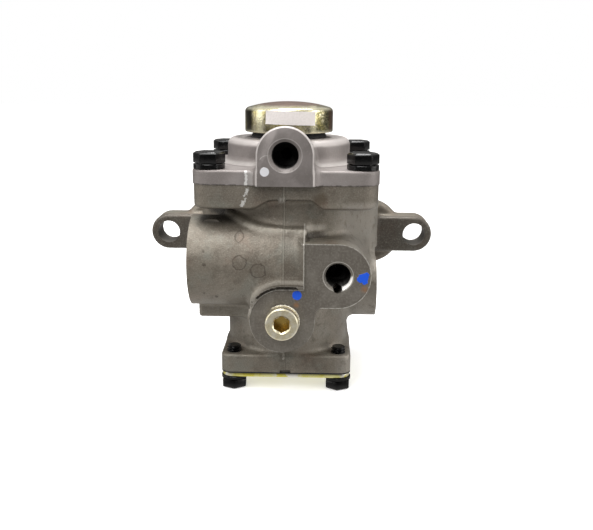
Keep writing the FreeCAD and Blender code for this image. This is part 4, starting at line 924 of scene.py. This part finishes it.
def hexagon_ring(across_flats, corner, turn_deg, steps=4):
    """Points round a hexagon with slightly round corners."""
    half = across_flats / 2 - corner
    ring = []
    for side in range(6):
        middle = math.radians(60 * side + turn_deg)
        for part in range(steps + 1):
            angle = middle + math.radians(60 * part / steps - 30)
            reach = half / math.cos(math.pi / 6)
            ring.append((reach * math.cos(middle) + corner * math.cos(angle),
                         reach * math.sin(middle) + corner * math.sin(angle)))
    return np.array(ring)


def hexagon_head(name, across_flats, seat_z, end_z, centre, turn_deg):
    """A forged hexagon head with a turned chamfer at its free end and a low washer face at its seat."""
    ring = hexagon_ring(across_flats, 0.45, turn_deg)
    reach = np.hypot(*ring.T)
    up = 1 if end_z > seat_z else -1
    rim = across_flats / 2 * 0.93
    cut = np.maximum(reach - rim, 0) * math.tan(math.radians(30))
    levels = [
        (ring * (across_flats / 2 * 0.95 / reach)[:, None], seat_z + 0 * reach),
        (ring * (across_flats / 2 * 0.95 / reach)[:, None], seat_z + up * 0.35 + 0 * reach),
        (ring * 0.985, seat_z + up * 0.4 + 0 * reach),
        (ring, seat_z + up * 0.6 + 0 * reach),
        (ring, end_z - up * (cut + 0.22)),
        (ring * 0.992, end_z - up * (cut + 0.06)),
        (ring * ((rim + 0.12) / reach)[:, None], end_z - up * 0.06 + 0 * reach),
        (ring * ((rim - 0.3) / reach)[:, None], end_z + 0 * reach),
    ]
    points = [(centre[0] + px, centre[1] + py, pz)
              for flat, height in levels for (px, py), pz in zip(flat, height)]
    rows, around = len(levels), len(ring)
    faces = tube_faces(rows, around) + end_faces(rows, around)
    return mended(new_piece(name, points, faces))


def screw_thread(name, start_z, end_z, outer, pitch, centre, around=48):
    """A threaded shank with a pointed end, its thread cut in as a screw line."""
    length = abs(end_z - start_z)
    way = 1 if end_z > start_z else -1
    rows = max(int(length / pitch * 8), 8)
    height = np.linspace(0, length, rows)
    angles = np.arange(around) * 2 * math.pi / around
    phase = height[:, None] / pitch - way * angles[None, :] / (2 * math.pi)
    tooth = np.clip(np.abs((phase % 1) * 2 - 1) * 1.25, 0, 1)
    radius = outer - 0.6 * pitch * tooth
    radius = np.minimum(radius, (outer - 0.55 * pitch + (length - height) * 1.2)[:, None])
    radius[0] = outer - 0.6 * pitch
    across = centre[0] + radius * np.cos(angles)
    along = centre[1] + radius * np.sin(angles)
    up = start_z + way * height[:, None] + 0 * angles
    points = np.stack([across, along, up], axis=2).reshape(-1, 3)
    return mended(new_piece(name, points, end_faces(rows, around) + tube_faces(rows, around)))


def split_ring(name, centre, low, high, inner, outer, turn_deg, lift):
    """A spring lock washer: square wire bent round with its two ends a little apart in height."""
    steps = 60
    angles = np.radians(turn_deg + np.linspace(3.5, 356.5, steps))
    part = np.linspace(-0.5, 0.5, steps)
    edge = 0.22
    section = [(inner + edge, low), (outer - edge, low), (outer, low + edge), (outer, high - edge),
               (outer - edge, high), (inner + edge, high), (inner, high - edge), (inner, low + edge)]
    middle = (low + high) / 2
    points = []
    for angle, share in zip(angles, part):
        for radius, height in section:
            squeezed = middle + (height - middle) * (1 - lift * 2 / (high - low))
            points.append((centre[0] + radius * math.cos(angle), centre[1] + radius * math.sin(angle),
                           squeezed + 2 * lift * share))
    sides = len(section)
    return mended(new_piece(name, points, tube_faces(steps, sides) + end_faces(steps, sides)))


def gathered(name, parts):
    """Several forms made one object."""
    mesh = bmesh.new()
    for part in parts:
        mesh.from_mesh(part.data)
        old = part.data
        bpy.data.objects.remove(part)
        bpy.data.meshes.remove(old)
    made = new_piece(name, [(0, 0, 0)], [])
    mesh.to_mesh(made.data)
    mesh.free()
    return made


def finished(made, finish, body_name, nodes=(), angle_deg=34):
    """The last steps of a piece: finish, shading, the body it rides on and the nodes it stands for."""
    made.data.materials.clear()
    made.data.materials.append(finish.material)
    shaded(made, angle_deg)
    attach(made, body_name)
    if nodes:
        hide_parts(*nodes)
    return made


def screw_set(name, spread, turns_deg, head, shank, washer, lift):
    """Four hexagon screws with split washers, one at each corner, every head turned a little otherwise."""
    screws, washers = [], []
    for index, (sx, sy) in enumerate(CORNERS):
        at = (sx * spread, sy * spread)
        made = hexagon_head("head", *head, at, turns_deg[index])
        screws.append(combined(made, [screw_thread("shank", *shank, at)], "UNION"))
        washers.append(split_ring("washer", at, *washer, 40 + 75 * index, lift))
    finished(gathered(name + "_hexagon_screws", screws), black_oxide, "valve_housing",
             [name + "_screws"])
    finished(gathered(name + "_split_washers", washers), black_oxide, "valve_housing",
             [name + "_lock_washers"])


screw_set("cover", SCREW_AT, (1.5, -4.0, -2.0, 5.0), (14.3, HEAD_LOW_Z, HEAD_LOW_Z + 6.0),
          (HEAD_LOW_Z + 1, 31.0, 4.7, 1.59), (COVER_TOP_Z, HEAD_LOW_Z, 4.9, 8.1), 0.12)

# Top cap: a drum pressed from thin steel and plated in yellow zinc, its dome a little coppery.
# Its lower edge is rolled in, and it grips the black rubber neck that stands on the cover's spigot.
CAP_R = 24.0
CAP_LOW_Z = 64.4
CAP_WALL_TOP_Z = 77.8
CAP_TOP_Z = 80.5
zinc = Finish("yellow_zinc_cap", Metallic=0.92)
height = (zinc.z - CAP_LOW_Z) / (CAP_TOP_Z - CAP_LOW_Z)
clouds = zinc.grain(0.14, 4.0, 0.62)
speck = zinc.grain(1.1, 4.0, 0.7)
zinc.colour = zinc.tint(clouds.rise(0.36, 0.62), (0.58, 0.50, 0.22, 1), (0.66, 0.60, 0.44, 1))
zinc.coat(speck.rise(0.48, 0.62) * 0.65, 0.15, 0.13, 0.06)
front = zinc.y.fall(-3, 0)
wander = zinc.x + clouds * 3 - 1.5
# Painted reflection: a dark band near the cap's left edge.
painted_dark_reflection_left = wander.band(-23.2, -22.2, -20.2, -18.2)
zinc.coat(painted_dark_reflection_left * front * 0.93, 0.035, 0.03, 0.018)
# Painted reflection: mottled dark olive on the cap's right side.
mottled_painted_reflection = wander.rise(13.5, 15.5) * speck.rise(0.38, 0.56)
zinc.coat(mottled_painted_reflection * front * 0.85, 0.085, 0.085, 0.025)
zinc.coat(wander.rise(21.0, 22.2) * front * 0.7, 0.26, 0.12, 0.07)
gleam = (zinc.x + 14.8).size().least((zinc.x - 13.4).size())
zinc.coat(gleam.fall(0.8, 2.4) * front * 0.7, 0.95, 0.90, 0.62)
# Painted highlight on the rolled lower edge and at the top of the wall.
painted_highlight_cap_edges = height.fall(0.03, 0.13).most(height.line(0.78, 0.03, 0.10) * 0.8)
zinc.coat(painted_highlight_cap_edges * 0.75, 0.92, 0.88, 0.66)
streaks = zinc.grain(0.25, 4.0, 0.7)
zinc.coat(height.rise(0.84, 0.92), 0.27, 0.17, 0.13)
zinc.coat(height.rise(0.84, 0.92) * streaks.rise(0.45, 0.7) * 0.6, 0.14, 0.09, 0.07)
zinc.set(Base_Color=zinc.colour)
zinc.set(Roughness=0.11 + speck * 0.14 + height.rise(0.80, 0.95) * 0.14)
zinc.set(Normal=zinc.bump(speck, 0.05, zinc.bump(clouds, 0.35)))

outside = [(CAP_R - 0.9, CAP_LOW_Z), (CAP_R - 0.25, CAP_LOW_Z + 0.15), (CAP_R, CAP_LOW_Z + 0.8)]
outside += [(CAP_R, CAP_WALL_TOP_Z - 3.0)]
for step in range(1, 10):
    angle = math.radians(8.6 * step)
    outside.append((CAP_R - 2.5 + 2.5 * math.cos(angle), CAP_WALL_TOP_Z - 2.7 + 2.5 * math.sin(angle)))
edge_r, edge_z = outside[-1]
for step in range(1, 15):
    radius = edge_r * (1 - step / 14)
    outside.append((radius, CAP_TOP_Z - (CAP_TOP_Z - edge_z) * (radius / edge_r) ** 2.2))
inside = [(max(radius - 0.9, 0), top - 0.9) for radius, top in outside[3:]]
inside = [(CAP_R - 0.9, CAP_LOW_Z + 0.6)] + inside
cap = turned_form("pressed_cap", outside + inside[::-1], around=160)
finished(cap, zinc, "valve_housing", ["top_cap"], 50)

# Cap neck: the moulded black rubber sleeve between cover and cap.
neck = turned_form("rubber_neck", [
    (12.05, 61.5), (20.2, 61.5), (20.6, 61.8), (20.5, 62.4), (19.9, 63.4), (19.6, 64.9), (22.95, 64.9),
    (22.95, 70.9), (12.05, 70.9)], around=128, closed=True)
finished(neck, rubber, "valve_housing", ["cap_neck_seal"])

# Sticker: a small blank paper label, stuck on the front of the cap a little crooked.
paper_label, fibre = clouded("blank_sticker", (1.2, 3.0, 0.6), (0.3, 0.8), (0.88, 0.83, 0.81),
                             (0.78, 0.73, 0.70), (0.4, 0.2), Specular_IOR_Level=0.4)
paper_label.set(Normal=paper_label.bump(fibre, 0.03))
LABEL_MIDDLE_Z = CAP_LOW_Z + 8.2
tilt = math.radians(1.7)
points, faces = [], []
columns, rows = 40, 8
for skin in (0.02, 0.15):
    for column in range(columns + 1):
        for row in range(rows + 1):
            across = (column / columns - 0.5) * 25.6
            along = (row / rows - 0.5) * 7.0
            x = 1.5 + across * math.cos(tilt) + along * math.sin(tilt)
            z = LABEL_MIDDLE_Z - across * math.sin(tilt) + along * math.cos(tilt)
            angle = math.asin(x / CAP_R)
            corner = rise(abs(across) / 12.8 * abs(along) / 3.5, 0.86, 1.0) * 0.25
            radius = CAP_R + skin + float(corner)
            points.append((radius * math.sin(angle), -radius * math.cos(angle), z))
block = (columns + 1) * (rows + 1)
for column in range(columns):
    for row in range(rows):
        a = column * (rows + 1) + row
        faces.append((a, a + 1, a + rows + 2, a + rows + 1))
        faces.append((block + a, block + a + rows + 1, block + a + rows + 2, block + a + 1))
rim = list(range(rows + 1))
rim += [column * (rows + 1) + rows for column in range(1, columns + 1)]
rim += [columns * (rows + 1) + row for row in range(rows - 1, -1, -1)]
rim += [column * (rows + 1) for column in range(columns - 1, 0, -1)]
for first, second in zip(rim, rim[1:] + rim[:1]):
    faces.append((first, second, block + second, block + first))
sticker = mended(new_piece("blank_sticker", points, faces))
finished(sticker, paper_label, "valve_housing", ["blank_label"])

# Pipe plug: a turned steel plug in the lower front port, plated pale gold, with a hexagon socket.
# Its first thread stands a little proud of the face, and old sealant clings to it.
gold = Finish("pale_gold_plate", Metallic=0.95)
stain = gold.grain(0.4, 3.0, 0.6)
turned = gold.grain(1.5, 2.0, 0.5)
depth_in = gold.y.rise(-55.4, -53.5) * gold.way(*PLUG_PORT).fall(4.4, 5.0)
gold.colour = gold.tint(stain.rise(0.35, 0.7), (0.80, 0.72, 0.50, 1), (0.92, 0.87, 0.72, 1))
gold.coat(depth_in, 0.52, 0.36, 0.10)
gold.set(Base_Color=gold.colour)
gold.set(Roughness=0.22 + stain * 0.15)
gold.set(Normal=gold.bump(turned, 0.04))

px, pz = PLUG_PORT
PLUG_R = 8.6
PLUG_END = -56.0
plug = turned_form("hexagon_socket_plug", [
    (0, -38), (6.9, -38), (7.1, -50.2), (PLUG_R - 0.35, -50.2), (PLUG_R, -50.3), (PLUG_R, PLUG_END + 0.9),
    (PLUG_R - 0.12, PLUG_END + 0.45), (PLUG_R - 0.75, PLUG_END), (0, PLUG_END)], (px, 0, pz), "y", 96)
ring = hexagon_ring(7.94, 0.25, 90)
socket_points = [(px + a, level, pz + b) for level in (PLUG_END - 1, PLUG_END + 7) for a, b in ring]
socket_faces = end_faces(2, len(ring)) + tube_faces(2, len(ring))
socket = mended(new_piece("socket", socket_points, socket_faces))
lead = turned_form("lead", [
    (0, PLUG_END - 0.1), (5.0, PLUG_END - 0.1), (4.1, PLUG_END + 0.8), (0, PLUG_END + 0.8)],
    (px, 0, pz), "y", 64)
plug = combined(plug, [socket, lead])
finished(plug, gold, "valve_housing", ["pipe_plug"])

sealant, _ = clouded("dried_sealant", (0.9, 3.0, 0.6), (0.35, 0.6), (0.42, 0.36, 0.25),
                     (0.86, 0.82, 0.70), (0.35, 0.2), Metallic=0.2)
points = []
steps, sides = 60, 8
for step in range(steps + 1):
    angle = math.radians(-35 + 165 * step / steps)
    taper = math.sin(math.pi * step / steps) ** 0.5
    thick = (0.45 + 0.16 * math.sin(step * 1.9) * math.sin(step * 0.7)) * taper + 0.02
    for side in range(sides):
        turn = 2 * math.pi * side / sides
        radius = PLUG_R + 0.25 + thick * math.cos(turn)
        level = -50.55 - 0.5 * step / steps + thick * 1.3 * math.sin(turn)
        points.append((px + radius * math.cos(angle), level, pz + radius * math.sin(angle)))
faces = tube_faces(steps + 1, sides) + end_faces(steps + 1, sides)
bead = mended(new_piece("plug_sealant", points, faces))
finished(bead, sealant, "valve_housing", [])

# Base: a thin black gasket, then a plate pressed from steel and plated in yellow zinc, under the flange.
# Four 5/16 in hexagon screws with split washers hold it, and their tips stand just above the flange.
GASKET_LOW_Z = -63.8
PLATE_LOW_Z = -66.0
BASE_SEAT_Z = -68.0
plate_zinc = Finish("yellow_zinc_plate", Metallic=0.9)
clouds = plate_zinc.grain(0.12, 4.0, 0.6)
speck = plate_zinc.grain(0.8, 4.0, 0.7)
plate_zinc.colour = plate_zinc.tint(clouds.rise(0.36, 0.66), (0.74, 0.66, 0.12, 1), (0.88, 0.84, 0.42, 1))
plate_zinc.coat(speck.rise(0.55, 0.8) * 0.5, 0.30, 0.24, 0.08)
along = plate_zinc.x.size()
bare = (along.rise(28, 31)).most(plate_zinc.x.line(1, 5, 9)) * clouds.rise(0.44, 0.56)
plate_zinc.coat(bare * 0.9, 0.92, 0.90, 0.86)
plate_zinc.set(Base_Color=plate_zinc.colour)
plate_zinc.set(Roughness=0.24 + clouds * 0.2)
plate_zinc.set(Normal=plate_zinc.bump(speck, 0.04))


def square_sheet(name, half, corner, low, high, edge):
    """A square sheet with round corners and a small round on its edges."""
    ring = []
    for quarter in range(4):
        for step in range(9):
            angle = math.radians(90 * quarter + 90 * step / 8)
            mid = math.radians(90 * quarter + 45)
            reach = (half - corner) * math.sqrt(2)
            ring.append((reach * math.cos(mid), reach * math.sin(mid), math.cos(angle), math.sin(angle)))
    levels = [(low, corner - edge), (low + edge * 0.3, corner - edge * 0.3), (low + edge, corner),
              (high - edge, corner), (high - edge * 0.3, corner - edge * 0.3), (high, corner - edge)]
    points = [(a + radius * c, b + radius * s, z) for z, radius in levels for a, b, c, s in ring]
    rows, around = len(levels), len(ring)
    return mended(new_piece(name, points, end_faces(rows, around) + tube_faces(rows, around)))


gasket = square_sheet("black_gasket", BASE_HALF, 6, GASKET_LOW_Z, BASE_Z, 0.12)
plate = square_sheet("plated_base_plate", BASE_HALF - 0.5, 6, PLATE_LOW_Z, GASKET_LOW_Z, 0.35)
gasket_cut = [drill_form("opening", (0, 0, -70), (0, 0, -60), 22.2, 96)]
plate_cut = [drill_form("rivet_hole", (0, 0, -70), (0, 0, -60), 1.95, 32)]
for turn in range(6):
    x, y = 8.6 * math.cos(math.radians(60 * turn)), 8.6 * math.sin(math.radians(60 * turn))
    plate_cut.append(drill_form("exhaust_hole", (x, y, -70), (x, y, -60), 2.9, 40))
for sx, sy in CORNERS:
    at = (sx * BASE_SCREW_AT, sy * BASE_SCREW_AT)
    for cut in (gasket_cut, plate_cut):
        cut.append(drill_form("hole", (*at, -70), (*at, -60), 4.3, 40))
combined(gasket, gasket_cut)
combined(plate, plate_cut)
finished(gasket, rubber, "valve_housing", ["base_gasket"])
finished(plate, plate_zinc, "valve_housing", ["base_plate"])
screw_set("base", BASE_SCREW_AT, (33.0, 28.0, 26.0, 32.0), (12.7, BASE_SEAT_Z, -73.4),
          (-69, -49.5, 3.9, 1.41), (BASE_SEAT_Z, PLATE_LOW_Z, 4.05, 7.0), 0.1)

# Exhaust flap: a rubber disc over the plate's six holes, held by a small washer and a headed rivet.
bright, _ = clouded("bright_steel", (0.5, 4.0, 0.6), (0.35, 0.7), (0.52, 0.52, 0.51),
                    (0.66, 0.65, 0.63), (0.22, 0.2), Metallic=0.95)
flap = turned_form("rubber_flap", [(1.95, -66.0), (13.0, -66.0), (13.0, -66.9), (12.7, -67.2), (1.95, -67.2)],
                   around=96, closed=True)
finished(flap, rubber, "valve_housing", ["exhaust_flap"])
washer = turned_form("flap_holding_washer", [
    (1.95, -67.2), (5.0, -67.2), (5.0, -67.9), (4.8, -68.1), (1.95, -68.1)], around=64, closed=True)
finished(washer, bright, "valve_housing", ["flap_washer"])
rivet = turned_form("flap_holding_rivet", [
    (0, -69.1), (1.3, -69.05), (2.4, -68.85), (3.1, -68.5), (3.4, -68.1), (1.9, -68.1), (1.9, -63.8),
    (3.4, -63.8), (3.1, -63.3), (2.2, -62.9), (0, -62.8)], around=48)
finished(rivet, bright, "valve_housing", ["flap_rivet"])

# Relay piston: turned aluminium with a long stem, one rubber ring and a plain steel spring to lift it.
turned_aluminium = Finish("turned_aluminium", Metallic=0.95)
rings = turned_aluminium.grain(0.8, 3.0, 0.6)
turned_aluminium.set(Base_Color=turned_aluminium.tint(rings, (0.60, 0.60, 0.60, 1), (0.74, 0.73, 0.71, 1)))
turned_aluminium.set(Roughness=0.25 + rings * 0.12)
for node, finish in (("relay_piston", turned_aluminium), ("piston_seal_ring", rubber),
                     ("piston_return_spring", bright)):
    repaint(node, finish)

# Inlet and exhaust valve: a hollow brass stem with a bonded rubber disc, its spring and aluminium guide.
brass, _ = clouded("turned_brass", (0.3, 4.0, 0.6), (0.35, 0.7), (0.66, 0.48, 0.20),
                   (0.50, 0.34, 0.14), (0.24, 0.2), Metallic=0.95)
for node, finish in (("valve_stem", brass), ("valve_disc", rubber), ("valve_spring", bright),
                     ("valve_spring_seat", bright), ("valve_guide", turned_aluminium),
                     ("guide_seal_ring", rubber), ("stem_seal_ring", rubber)):
    repaint(node, finish)

# Studio: a pale floor and pale surroundings, soft light from above and the front, and the camera.
# The surroundings are brighter overhead than behind the camera, so metal has something to reflect.
FLOOR_Z = -0.0734
MIDDLE = (0, -0.054, 0)
studio = bpy.data.worlds.new("studio")
tent = Nodes(studio)
direction = tent.node("ShaderNodeTexCoord", {}, {}, "Generated")
east, north, high = tent.parts(direction)
overhead = high.rise(0.2, 0.8)
below = high.fall(-0.6, -0.05)
backdrop = north.rise(0.72, 0.85) * high.rise(0.15, 0.4)
beside = north.band(-0.6, -0.3, 0.1, 0.35) * high.rise(-0.25, 0.0)
left = east.fall(-0.8, -0.6) * beside
right = east.rise(0.65, 0.85) * beside
mirrored = tent.node("ShaderNodeLightPath", {}, {}, "Is Glossy Ray")
sides = left * (0.45 + mirrored * 1.1) + right * (2.2 + mirrored * 0.4)
level = (0.24 - mirrored * 0.12) + overhead * (0.70 - mirrored * 0.06) + below * 0.6 + backdrop * 0.3 + sides
light = tent.node("ShaderNodeBackground", {}, {0: (1.0, 0.985, 0.96, 1), 1: level})
plain = tent.node("ShaderNodeBackground", {}, {0: (1, 1, 1, 1), 1: 1.0})
seen = tent.node("ShaderNodeLightPath", {}, {}, "Is Camera Ray")
mixed = tent.node("ShaderNodeMixShader", {}, {0: seen, 1: light, 2: plain})
tent.node("ShaderNodeOutputWorld", {}, {0: mixed})
bpy.context.scene.world = studio
bpy.context.scene.view_settings.view_transform = "Standard"

floor_mesh = bpy.data.meshes.new("floor")
corners = [(-4, -4, FLOOR_Z), (4, -4, FLOOR_Z), (4, 4, FLOOR_Z), (-4, 4, FLOOR_Z)]
floor_mesh.from_pydata(corners, [], [(0, 1, 2, 3)])
floor = bpy.data.objects.new("floor", floor_mesh)
bpy.context.scene.collection.objects.link(floor)
paper = Finish("pale_paper", Roughness=0.9, Emission_Color=(1, 1, 1, 1), Emission_Strength=0.45)
paper.set(Base_Color=paper.tint(paper.grain(0.01), (0.92, 0.92, 0.92, 1), (0.94, 0.94, 0.94, 1)))
floor_mesh.materials.append(paper.material)
floor.visible_diffuse = False
floor.visible_glossy = False


def soft_light(name, place, aim, size, power):
    """A square light panel turned towards a point."""
    lamp = bpy.data.lights.new(name, "AREA")
    lamp.size = size
    lamp.energy = power
    made = bpy.data.objects.new(name, lamp)
    made.location = place
    made.rotation_euler = (Vector(aim) - Vector(place)).to_track_quat("-Z", "Y").to_euler()
    bpy.context.scene.collection.objects.link(made)


soft_light("top_panel", (-0.15, -0.3, 0.75), MIDDLE, 0.5, 4.5)
soft_light("left_panel", (-0.3, -0.7, 0.45), MIDDLE, 0.3, 1.5)
soft_light("ridge_panel", (0.05, 0.12, 0.7), MIDDLE, 0.3, 3)

CAMERA_TURNS_DEG = (-1.58, 13.65, 0.38)
CAMERA_PLACE = (0.01651, -0.48616, 0.09373)
CAMERA_LENS_MM = 47.18
yaw, pitch, roll = (math.radians(angle) for angle in CAMERA_TURNS_DEG)
ahead = Vector((math.sin(yaw) * math.cos(pitch), math.cos(yaw) * math.cos(pitch), -math.sin(pitch)))
level = Vector((math.cos(yaw), -math.sin(yaw), 0))
upright = level.cross(ahead)
right = level * math.cos(roll) + upright * math.sin(roll)
up = upright * math.cos(roll) - level * math.sin(roll)
lens = bpy.data.cameras.new("camera")
lens.lens = CAMERA_LENS_MM
lens.sensor_width = 36.0
camera = bpy.data.objects.new("camera", lens)
turn = Matrix((right, up, -ahead)).transposed().to_4x4()
camera.matrix_world = Matrix.Translation(CAMERA_PLACE) @ turn
bpy.context.scene.collection.objects.link(camera)
bpy.context.scene.camera = camera
